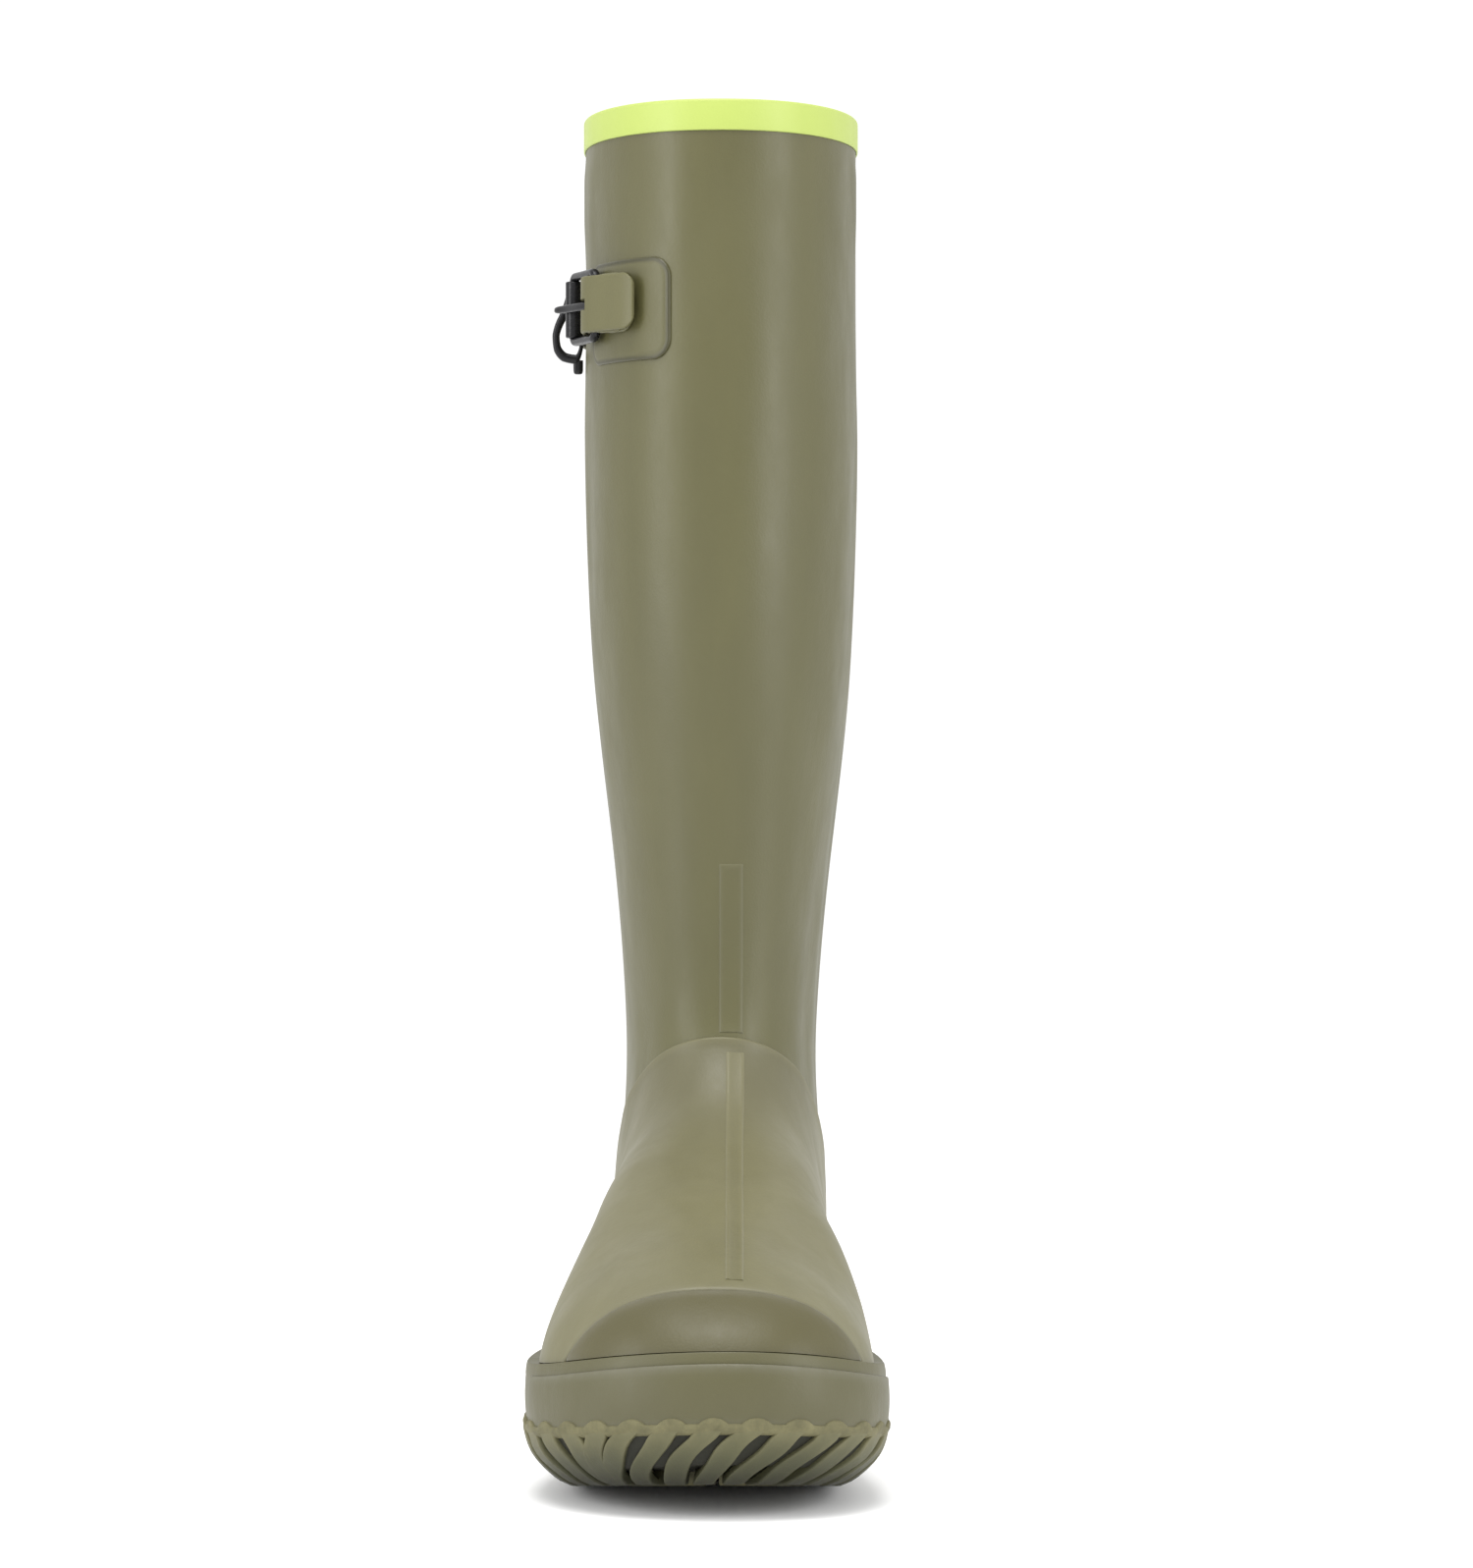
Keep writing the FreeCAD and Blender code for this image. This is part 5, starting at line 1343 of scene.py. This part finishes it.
def add_edge_lug(mesh, index):
    """One block at the edge of the tread, from the rim down the wall and in under the sole."""
    start = index / EDGE_LUGS
    width = LUG_SHARE / EDGE_LUGS
    across = edge_steps(width * OUTLINE_LENGTH, 2.0)
    down = edge_steps(LUG_PATH, 2.0)
    lean = slant_at(start + width / 2)
    wall_foot = WALL_CURVE[0][1]
    faces = []
    for shift, rise in ((LUG_WRAP, 0.0), (-LUG_EMBED, LUG_ROOT)):
        rows = []
        for distance in down * LUG_PATH:
            on_wall = min(distance, LUG_ON_WALL)
            phase = distance / WOBBLE_LENGTH + WOBBLE_SHIFT * index
            wobble = WOBBLE * min(distance / WOBBLE_FADE, 1) * math.sin(phase)
            spots = start + width * across + lean * on_wall + wobble / OUTLINE_LENGTH
            if distance <= LUG_ON_WALL:
                rows.append(wall_between(spots, 1 - on_wall / LUG_ON_WALL, ground_height, lug_top, shift))
            else:
                share = (distance - LUG_ON_WALL) / (LUG_PATH - LUG_ON_WALL)
                plan = outline_at(spots, wall_foot - shift + share * (LUG_REACH - wall_foot))
                rows.append(np.column_stack([plan, ground_height(-plan[:, 1]) + rise]))
        faces.append(np.array(rows))
    outer, inner = faces
    outer[..., 2] = np.maximum(outer[..., 2], ground_height(-outer[..., 1]))
    distances = edge_distances(down, across, LUG_PATH, width * OUTLINE_LENGTH)
    # The tone pales the lug's upper part towards the rim's colour and paints shade on its lower part.
    above_ground = (outer[..., 2] - ground_height(-outer[..., 1])) / LUG_PALE
    tone = np.clip(1.9 * above_ground - 0.9, -0.95, 1.0)
    mesh.block(outer, inner, np.minimum(*distances), LUG_ROUND, tone)


CHEVRON_INSET = 25.0
CHEVRON_ROWS = {"heel_lugs": (-114.0, -93.0), "forefoot_lugs": (3.0, 24.0, 45.0, 66.0, 87.0, 108.0)}
CHEVRON_LENGTH = 11.0
CHEVRON_SLOPE = 0.3
CHEVRON_MIDDLE = 2.5
CHEVRON_GAP = 2.0
CHEVRON_SHORTEST = 4.0
CHEVRON_EMBED = 0.6


def add_chevron(mesh, row, side):
    """One slanted bar of a chevron, from the middle of the tread out to the edge blocks."""
    limit = outline_at(np.linspace(0, 1, 1200), CHEVRON_INSET)
    half = limit[(limit[:, 0] - CHEVRON_MIDDLE) * side > 0]
    half = half[np.argsort(-half[:, 1])]
    out = np.linspace(CHEVRON_GAP, 60.0, 400)
    stops = []
    for front in (0.0, CHEVRON_LENGTH):
        forward = row + front - CHEVRON_SLOPE * out
        edge = np.abs(np.interp(forward, -half[:, 1], half[:, 0]) - CHEVRON_MIDDLE)
        edge[(forward < -half[:, 1].max()) | (forward > -half[:, 1].min())] = 0
        stop = out[np.argmax(edge < out)] if (edge < out).any() else out[-1]
        stops.append(max(stop, CHEVRON_GAP + CHEVRON_SHORTEST))
    s, t = edge_steps(max(stops), 2.0), edge_steps(CHEVRON_LENGTH, 1.5)
    aside = CHEVRON_GAP + s[:, None] * (stops[0] + (stops[1] - stops[0]) * t[None] - CHEVRON_GAP)
    x = CHEVRON_MIDDLE + side * aside
    forward = row + CHEVRON_LENGTH * t[None] - CHEVRON_SLOPE * aside
    outer = np.stack([x, -forward, ground_height(forward)], axis=-1)
    inner = np.stack([x, -forward, tread_base(forward) + CHEVRON_EMBED], axis=-1)
    distances = edge_distances(s, t, max(stops), CHEVRON_LENGTH)
    mesh.block(outer, inner, np.minimum(*distances), LUG_ROUND)


def add_lugs():
    """The tread's blocks: all round its edge apart from the arch, and in rows of chevrons inside."""
    groups = {"heel_lugs": Mesh(), "forefoot_lugs": Mesh()}
    for index in range(EDGE_LUGS):
        place = (index + LUG_SHARE / 2) / EDGE_LUGS
        forward = -float(outline_at(np.array([place]), 0.0)[0, 1])
        if forward < ARCH_START or forward > ARCH_END:
            add_edge_lug(groups["heel_lugs" if forward < ARCH_START else "forefoot_lugs"], index)
    for node, rows in CHEVRON_ROWS.items():
        for row in rows:
            for side in (-1, 1):
                add_chevron(groups[node], row, side)
    for node, mesh in groups.items():
        mesh.piece(node)


add_foxing()
add_bumper()
add_outsole()
add_lugs()

# ---------------------------------------------------------------- the kick ledge at the heel
KICK_LOW = 50.8
KICK_HIGH = 57.0
KICK_DEPTH = 4.0
KICK_HALF = 0.145  # of the way round the boot
KICK_THINNEST = 0.25


def add_heel_kick():
    """A rounded ledge round the back of the heel, fading out along both sides."""
    u = 0.5 + KICK_HALF * np.linspace(-1, 1, 121)
    start = 2 * GLUE_GAP + OVERLAY_WALL
    low, high = (edge_along(boot, u, at_height(height), 0.4, 0.8)[:, 1] for height in (KICK_LOW, KICK_HIGH))
    fade = np.clip(1 - np.abs(u - 0.5) / KICK_HALF, 0, 1) ** 0.45
    depth = np.maximum(KICK_DEPTH * fade, KICK_THINNEST)
    section = rounded_section([(-0.25, 0.0), (1.0, 0.0), (1.0, 1.0), (-0.25, 1.0)], (0.02, 0.3, 0.3, 0.02), 7)
    rows = []
    for out, share in section:
        offset = start + np.where(out < 0, -EMBED, depth * out)
        rows.append(boot.at(u, low + (high - low) * share, offset))
    mesh = Mesh()
    mesh.tube(np.stack(rows, axis=1), 0.3)
    mesh.piece("heel_kick")


add_heel_kick()

# ---------------------------------------------------------------- strap and chape
PATCH_TOP = GLUE_GAP + PATCH_WALL
HINGE_ANGLE = 36.0
ROLLER_ANGLE = 16.3
KEEPER_ANGLE = 1.5
STRAP_HEIGHT = 390.5
STRAP_WIDTH = 19.0
STRAP_WALL = 1.8
CHAPE_WIDTH = 20.0
CHAPE_WALL = 1.2
BAR = 1.6
LIE = 0.25
UNDER_ROLLER = 2.0
UNDER_KEEPER = 2.6
# How far the middles of the layers are from the shaft, and the radii of their bends round the hinge bar.
chape_under = PATCH_TOP + LIE + CHAPE_WALL / 2
chape_over = chape_under + CHAPE_WALL + GLUE_GAP
tail_over = chape_over + (CHAPE_WALL + STRAP_WALL) / 2 + GLUE_GAP
hinge_height = chape_under + CHAPE_WALL / 2 + GLUE_GAP + BAR
chape_bend = BAR + GLUE_GAP + CHAPE_WALL / 2
strap_bend = chape_bend + (CHAPE_WALL + STRAP_WALL) / 2 + GLUE_GAP
strap_on_patch = PATCH_TOP + LIE + STRAP_WALL / 2
hinge = shaft_point(HINGE_ANGLE, hinge_height)
rearward = unit(shaft_point(ROLLER_ANGLE) - shaft_point(HINGE_ANGLE))
outward = np.array([-rearward[1], rearward[0], 0.0])


def from_hinge(along, out, up=0.0):
    """A point measured from the buckle's hinge: rearward, outward and up from the strap's middle."""
    along, out, up = (np.asarray(value, float)[..., None] for value in (along, out, up))
    return hinge + rearward * along + outward * out + UP * (STRAP_HEIGHT + up)


def round_hinge(radius, angle):
    turn = math.radians(angle)
    return from_hinge(radius * math.cos(turn), radius * math.sin(turn))


def on_shaft(angle, offset):
    return shaft_point(angle, offset, STRAP_HEIGHT)


# The chape's and the strap's lines in plan, from one end to the other: angles round the shaft, angles
# round the hinge bar, and angles with how far the line rises there above the layer that it lies on.
CHAPE_ENDS = (54.6, 52.6, 50.3, 47.5, 44.0, 40.4)
CHAPE_RISE = [(42.0, 1.55), (46.4, 0.65), (50.2, 0.1), (52.8, 0.0)]
CHAPE_WRAP = (-90, -45, 0, 45, 90, 118)
chape_line = [on_shaft(angle, chape_under) for angle in CHAPE_ENDS]
chape_line += [round_hinge(chape_bend, angle) for angle in CHAPE_WRAP]
chape_line += [on_shaft(angle, chape_over + rise) for angle, rise in CHAPE_RISE]
STRAP_REAR = (-67.0, -57.0, -47.0, -36.0)
STRAP_SIDE = (-24.0, -14.0, -6.0)
STRAP_TAIL_RISE = [(42.6, 1.75), (47.0, 0.8), (51.2, 0.25), (54.0, 0.0), (58.0, -0.9)]
strap_line = [on_shaft(angle, strap_on_patch) for angle in STRAP_REAR]
strap_line += [on_shaft(angle, UNDER_KEEPER) for angle in STRAP_SIDE]
strap_line += [on_shaft(angle, UNDER_KEEPER) for angle in (KEEPER_ANGLE, 8.0)]
strap_line.append(on_shaft(ROLLER_ANGLE - 2.4, UNDER_KEEPER - 0.05))
strap_line += [from_hinge(20.6, UNDER_ROLLER - hinge_height), from_hinge(10.5, 0.85)]
strap_line += [from_hinge(4.5, strap_bend - 0.9), round_hinge(strap_bend, 92)]
strap_line += [on_shaft(angle, tail_over + rise) for angle, rise in STRAP_TAIL_RISE]
# The slots that the prong goes through: half width, and where they start and end behind the hinge.
SLOT_HALF = 1.9
TONGUE_SLOT = (-2.8, 15.0)
EYE_SLOT = (-4.6, 4.2)
STRAP_RADIUS = 0.75
STRAP_CORNER = 5.0
STRAP_GROOVE = 0.12
FEATHER_LENGTH = 8.0
# Where the chape narrows towards the frame, from how far off its middle, and by how much on each side.
NARROWING = (-8.0, -3.0)
NARROW_FROM = 4.0
NARROWED_BY = 0.5


def add_plate(mesh, middle, normal, half, distance, radius, keep_cells, groove):
    """A plate round a middle grid, with round edges, a groove in its face and cells left out."""
    reduced = (half - radius * (1 - rounding(distance, radius)))[..., None]
    wear_and_shade_mark = ridge(1.0, 0.0, 2.0 * radius, distance)
    outer = mesh.add(middle + normal * (reduced - groove[..., None]), wear_and_shade_mark)
    inner = mesh.add(middle - normal * reduced)
    for index in (outer, inner):
        mesh.join(quads(index)[keep_cells.reshape(-1)])
    kept = np.pad(keep_cells, 1)
    for axis in (0, 1):
        edge = np.diff(kept.astype(int), axis=axis) != 0
        edge = edge[:, 1:-1] if axis == 0 else edge[1:-1]
        for row, column in np.argwhere(edge):
            following = (row, column + 1) if axis == 0 else (row + 1, column)
            face = [outer[row, column], outer[following], inner[following], inner[row, column]]
            mesh.faces.append([int(corner) for corner in face])


def strap_grid(line, spacing=0.7):
    """Evenly spaced points along a smooth plan line, their outward directions and distances."""
    fine = smooth_line(line, 4000)
    distance = travelled(fine)
    steps = edge_steps(distance[-1], spacing) * distance[-1]
    points = np.column_stack([np.interp(steps, distance, column) for column in fine.T])
    tangents = unit(np.gradient(points, axis=0))
    normals = np.column_stack([-tangents[:, 1], tangents[:, 0], np.zeros(len(points))])
    return points, normals, steps, distance[-1]


def slot_cells(points, columns, slot):
    """Which cells of a strap are kept when a slot is cut along the buckle."""
    along = (points - hinge) @ rearward
    inside = (along > slot[0]) & (along < slot[1])
    middle_rows = inside[:-1] & inside[1:]
    middles = (columns[:-1] + columns[1:]) / 2
    return ~(middle_rows[:, None] & (np.abs(middles) < SLOT_HALF + 0.01)[None])


def strip_columns(half):
    """Heights across a strap, close together near its edges and its slot."""
    near = np.array([0, 0.06, 0.2, 0.42, 0.75, 1.2, 1.7, 2.1, 2.5, 3.0])
    slot = SLOT_HALF + np.array([0, 0.15, 0.4, 0.8])
    between = np.linspace(SLOT_HALF + 1.4, half - 3.6, 4)
    side = np.concatenate([[0.7, 1.4], slot, between, (half - near)[::-1]])
    return np.concatenate([-side[::-1], [0.0], side])


def squeezed(up, start, factor):
    """Heights across a strap, with the part of each beyond start scaled by factor."""
    return np.where(np.abs(up) > start, np.sign(up) * (start + (np.abs(up) - start) * factor), up)


def add_strip(node, line, width, wall_thickness, slot, groove_at, narrowed=False, feather=0.0):
    """A strap along a plan line, with round ends, a slot for the prong and a moulded groove."""
    points, normals, steps, length = strap_grid(line)
    half = width / 2
    columns = strip_columns(half)
    up = np.broadcast_to(columns[None], (len(points), len(columns)))
    if narrowed:
        share = smooth_step(*NARROWING, (points - hinge) @ rearward)[:, None]
        up = squeezed(up, NARROW_FROM, 1 - share * NARROWED_BY / (half - NARROW_FROM))
    end = np.minimum(steps, length - steps)[:, None]
    up = squeezed(up, half - STRAP_CORNER, rounding(end, STRAP_CORNER))
    middle = points[:, None] + UP * up[..., None]
    distance = np.minimum(end, (half - np.abs(columns))[None])
    groove = ridge(STRAP_GROOVE, groove_at, 0.4, distance)
    groove += feather * np.clip(1 - (length - steps)[:, None] / FEATHER_LENGTH, 0, 1) ** 1.5
    thick = wall_thickness / 2
    mesh = Mesh()
    add_plate(mesh, middle, normals[:, None], thick, distance, min(STRAP_RADIUS, thick),
              slot_cells(points, columns, slot), groove)
    mesh.piece(node)


add_strip("adjusting_strap", strap_line, STRAP_WIDTH, STRAP_WALL, TONGUE_SLOT, 2.2, feather=0.9)
add_strip("buckle_chape", chape_line, CHAPE_WIDTH, CHAPE_WALL, EYE_SLOT, 1.8, narrowed=True)

# ---------------------------------------------------------------- the buckle
FRAME_LENGTH = 22.0
FRAME_HALF = 12.2
RAIL_WALL = 2.4
FRAME_CORNER = 2.2
FRAME_STEPS = 240
ROLLER_RISE = 1.75
ROLLER_RADIUS = 3.0
ROLLER_BORE = 1.65
ROLLER_HALF = 9.6
# The roller's seam: its depth, its angle and half width in radians, and the radius that it starts from.
SEAM_DEPTH = 0.3
SEAM_TURN = 0.6
SEAM_WIDTH = 0.05
SEAM_FROM = 2.2
EYE_RADIUS = 2.9
PRONG_HALF = 1.5
PRONG_TAPER = 0.22
PRONG_STEPS = 60
PRONG_TIP_STEPS = 12
# The prong's upper and lower side: distance behind the hinge, and distance out from it.
PRONG_UPPER = [(1.9, 2.0), (10.0, 4.35), (22.0, 7.35), (26.1, 7.7), (26.75, 6.95)]
PRONG_LOWER = [(1.9, -0.55), (10.0, 1.75), (21.0, 4.85), (25.5, 5.95), (26.7, 6.75)]
# The keeper's outline: distance out from the shaft, and height above the strap's middle.
KEEPER_OUTSIDE = [(0.3, 12.0), (4.4, 12.0), (6.2, 9.6), (8.0, 2.0), (11.2, -3.5), (11.7, -9.5), (10.2, -14.6),
                  (6.0, -16.5), (0.3, -16.5)]
KEEPER_INSIDE = [(1.45, 10.1), (3.7, 10.1), (4.5, 8.2), (5.9, 0.6), (9.1, -4.8), (9.4, -9.0), (8.2, -12.4),
                 (5.4, -13.6), (1.45, -13.6)]
LOOP_THICKER = 1.15
LOOP_HALF_DEPTH = 1.8
# The stub under the loop: its half sizes, how far out it is, and its heights with its size at each.
STUB_HALVES = np.array([1.7, 1.44])
STUB_OUT = 2.7
STUB_SECTIONS = [(-15.4, 1.0), (-17.5, 1.0), (-19.0, 0.98), (-19.7, 0.9), (-20.1, 0.72), (-20.25, 0.4)]


def superellipse(count, power):
    """Points round a squared-off circle of radius one."""
    return squared_circle(full_turn(count), 2 / power)


def tube_section(radius, half, outer_round, inner_round, steps):
    """A short tube's section: distance from its axis, and height, with rounded edges."""
    corners = [(radius, -half), (radius, half), (ROLLER_BORE, half), (ROLLER_BORE, -half)]
    return rounded_section(corners, (outer_round, outer_round, inner_round, inner_round), steps)


def add_frame():
    """One bent bar: two rails and two round bars, with rounded corners."""
    half_long, half_tall = FRAME_LENGTH / 2, FRAME_HALF - RAIL_WALL / 2 + 0.1
    loop = rounded_loop(half_long, half_tall, FRAME_CORNER, 10)
    loop = resample(np.vstack([loop, loop[:1]]), np.arange(FRAME_STEPS) / FRAME_STEPS)
    ahead = unit(np.roll(loop, -1, axis=0) - np.roll(loop, 1, axis=0))
    inward = np.column_stack([-ahead[:, 1], ahead[:, 0]])
    on_rail = np.abs(ahead[:, 0])
    thin = BAR - (BAR - RAIL_WALL / 2 - 0.2) * on_rail
    rows = []
    for side, out in superellipse(20, 2.4):
        place = loop + inward * (side * thin)[:, None]
        rise = (loop[:, 0] + half_long) / FRAME_LENGTH * ROLLER_RISE
        rows.append(from_hinge(place[:, 0] + half_long, rise + out * 0.99 * BAR, place[:, 1]))
    sweep("buckle_frame", rows, 0.35 * on_rail[:, None])


def add_roller():
    """A tube of rolled sheet with rounded ends and a shallow seam."""
    section = tube_section(ROLLER_RADIUS, ROLLER_HALF, 0.6, 0.25, 6)
    turn = full_turn(96)
    seam = ridge(SEAM_DEPTH, SEAM_TURN, SEAM_WIDTH, turn)
    rows = []
    for radius, up in section:
        deep = radius - (seam if radius > SEAM_FROM else 0)
        along, out = FRAME_LENGTH + deep * np.cos(turn), ROLLER_RISE + deep * np.sin(turn)
        rows.append(from_hinge(along, out, np.full(len(turn), up)))
    wear_and_shade_mark = np.where(np.abs(section[:, 1]) > ROLLER_HALF - 0.8, 0.8, 0.25)
    sweep("buckle_roller", rows, wear_and_shade_mark)


def add_prong():
    """A tapered tongue with a blunt tip, and the eye that it turns on."""
    mesh = Mesh()
    upper, lower = smooth_line(PRONG_UPPER, PRONG_STEPS), smooth_line(PRONG_LOWER, PRONG_STEPS)
    along = np.linspace(0, 1, PRONG_STEPS)
    wide = PRONG_HALF * (1 - PRONG_TAPER * along ** 2)
    wide[-PRONG_TIP_STEPS:] *= np.sqrt(1 - np.linspace(0, 0.93, PRONG_TIP_STEPS) ** 2)
    middle, half = (upper + lower) / 2, (upper - lower) / 2
    rows = []
    for up, out in superellipse(20, 2.8):
        place = middle + half * out
        rows.append(from_hinge(place[:, 0], place[:, 1], wide * up))
    mesh.tube(np.stack(rows, axis=1), (0.2 + 0.7 * along)[:, None])
    turn = full_turn(64)
    rows = []
    for radius, up in tube_section(EYE_RADIUS, PRONG_HALF, 0.5, 0.15, 5):
        rows.append(from_hinge(radius * np.cos(turn), radius * np.sin(turn), np.full(len(turn), up)))
    mesh.ring(np.stack(rows, axis=1), 0.4)
    mesh.piece("buckle_prong")


def add_keeper():
    """The drooping black loop behind the buckle, with its stub below."""
    outside, inside = closed_even(KEEPER_OUTSIDE, 200), closed_even(KEEPER_INSIDE, 200)
    middle, half = (outside + inside) / 2, (outside - inside) / 2
    out_way = shaft_normal(KEEPER_ANGLE)
    place = shaft_point(KEEPER_ANGLE, 0.0, STRAP_HEIGHT)
    across = np.cross(out_way, UP)
    rows = []
    for side, depth in superellipse(20, 2.6):
        flat = middle + half * side * LOOP_THICKER
        rows.append(place + out_way * flat[:, :1] + UP * flat[:, 1:] + across * depth * LOOP_HALF_DEPTH)
    mesh = Mesh()
    mesh.ring(np.stack(rows, axis=1), 0.3)
    stub = []
    for up, scale in STUB_SECTIONS:
        ring = superellipse(24, 3.0) * STUB_HALVES * scale
        stub.append(place + out_way * (STUB_OUT + ring[:, :1]) + UP * up + across * ring[:, 1:])
    mesh.tube(np.array(stub), 0.3)
    mesh.piece("strap_keeper")


def closed_even(corners, count):
    """Points round a smooth outline that keeps near its corners."""
    points = np.array(corners, float)
    middles = (points + np.roll(points, -1, axis=0)) / 2
    share = np.linspace(0, 1, 20, endpoint=False)[:, None]
    fine = []
    for first, corner, last in zip(np.roll(middles, 1, axis=0), points, middles):
        pull = 0.7 * corner + 0.3 * (first + last) / 2
        fine.append((1 - share) ** 2 * first + 2 * share * (1 - share) * pull + share ** 2 * last)
    fine = np.vstack(fine)
    return resample(np.vstack([fine, fine[:1]]), np.arange(count) / count)


add_frame()
add_roller()
add_prong()
add_keeper()

# ---------------------------------------------------------------- footbed
INSOLE_BOARD = 1.8
FOOTBED_WALL = 4.0
COVER_WALL = 1.0
BED_MIDDLE = 4.0
BED_WIDTH = 80.0
BED_GAP = 0.35
BED_ROUND = 0.8
NARROWEST = 2.0
SIDE_SEARCH = 60.0
NOTHING_MET = 59.0
cavity_tree = boot_tree(sock_inside)


def insole_line(forward):
    return line_height(INSOLE_LINE, forward)


def side_reach(points):
    """How far points inside the sock are from it on the outer side and on the inner side."""
    return [reach(cavity_tree, points, np.array([side, 0.0, 0.0]), SIDE_SEARCH) for side in (-1.0, 1.0)]


def closer_at_ends(count):
    """Numbers from 0 to 1, closer together towards both."""
    return 0.5 - 0.5 * np.cos(np.pi * np.linspace(0, 1, count))


def add_bed(node, low, thick, crown):
    """A plate that fills the inside of the sock above the insole, its edge a little raised."""
    ends = []
    for way in (1.0, -1.0):
        end = 0.0
        for distance in np.linspace(100, 150, 201):
            level = insole_line(-way * distance) + low + thick / 2
            probe = np.array([[BED_MIDDLE + 1.2 * (way < 0), way * distance, level]])
            widths = side_reach(probe)
            if np.max(widths) < NOTHING_MET and np.min(widths) > NARROWEST:
                end = distance
        ends.append(end)
    forward = -ends[0] + (ends[0] + ends[1]) * closer_at_ends(90)
    columns = closer_at_ends(33)
    edge = np.minimum(columns, 1 - columns)[None]
    layers = []
    for share in (1.0, 0.0):
        height = insole_line(forward) + low + thick * share
        probe = np.column_stack([np.full(len(forward), BED_MIDDLE), -forward, height + 0.3])
        left, right = (np.where(side < NOTHING_MET, side - BED_GAP, 0.5) for side in side_reach(probe))
        left, right = probe[:, 0] - left, probe[:, 0] + right
        x = left[:, None] + (right - left)[:, None] * columns[None]
        z = height[:, None] + share * ridge(crown, 0.0, 0.12, edge)
        layers.append(np.stack(np.broadcast_arrays(x, -forward[:, None], z), axis=-1))
    along = np.minimum(forward - forward[0], forward[-1] - forward)[:, None]
    mesh = Mesh()
    mesh.block(*layers, np.minimum(along, edge * BED_WIDTH), BED_ROUND)
    return mesh.piece(node)


bed_low = INSOLE_BOARD + GLUE_GAP
footbed = add_bed("footbed", bed_low, FOOTBED_WALL, 0.0)
footbed_cover = add_bed("footbed_cover", bed_low + FOOTBED_WALL + GLUE_GAP, COVER_WALL, 0.5)

# ---------------------------------------------------------------- floor, light and camera
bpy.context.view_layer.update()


def plain(name, colour, roughness):
    """A plain surface with a barely visible cloud."""
    material, tree, shader = nodes_of(name)
    cloud = noise(tree, (3, 3, 3), 2.0)
    colour_out = mixed(tree, cloud, shade(colour, 0.995), colour)
    feed(tree, shader, {"Base Color": colour_out, "Roughness": roughness})
    return material


FLOOR_HALF = 6.0
floor_corners = [(x * FLOOR_HALF, y * FLOOR_HALF, 0) for x, y in ((-1, -1), (1, -1), (1, 1), (-1, 1))]
floor_mesh = bpy.data.meshes.new("studio_floor")
floor_mesh.from_pydata(floor_corners, [], [(0, 1, 2, 3)])
floor_mesh.materials.append(plain("studio_floor_look", (0.96, 0.96, 0.96), 0.9))
floor = bpy.data.objects.new("studio_floor", floor_mesh)
bpy.context.scene.collection.objects.link(floor)

world = bpy.data.worlds.new("studio")
bpy.context.scene.world = world
world.use_nodes = True
background = world.node_tree.nodes["Background"]
background.inputs["Color"].default_value = (1, 1, 1, 1)
background.inputs["Strength"].default_value = 1.08

AIM = Vector((0.005, 0.0, 0.23))


def softbox(name, place, width, height, power):
    """A soft rectangular lamp that faces the boot."""
    lamp = bpy.data.lights.new(name, "AREA")
    lamp.shape = "RECTANGLE"
    lamp.size, lamp.size_y = width, height
    lamp.energy = power
    item = bpy.data.objects.new(name, lamp)
    item.location = place
    item.rotation_euler = (AIM - Vector(place)).to_track_quat("-Z", "Y").to_euler()
    bpy.context.scene.collection.objects.link(item)


softbox("left_box", (-1.55, -0.75, 0.65), 0.7, 1.5, 17.0)
softbox("right_box", (1.55, -0.75, 0.65), 0.7, 1.5, 17.0)
softbox("overhead_box", (-0.1, -0.55, 1.7), 1.0, 0.9, 22.0)

camera_data = bpy.data.cameras.new("camera")
camera_data.lens = 132.4
camera_data.sensor_width = 36.0
camera = bpy.data.objects.new("camera", camera_data)
camera.location = (0.010, -1.927, 0.2285)
camera.rotation_euler = (math.radians(90), 0, 0)
bpy.context.scene.collection.objects.link(camera)
bpy.context.scene.camera = camera
bpy.context.scene.view_settings.view_transform = "Standard"
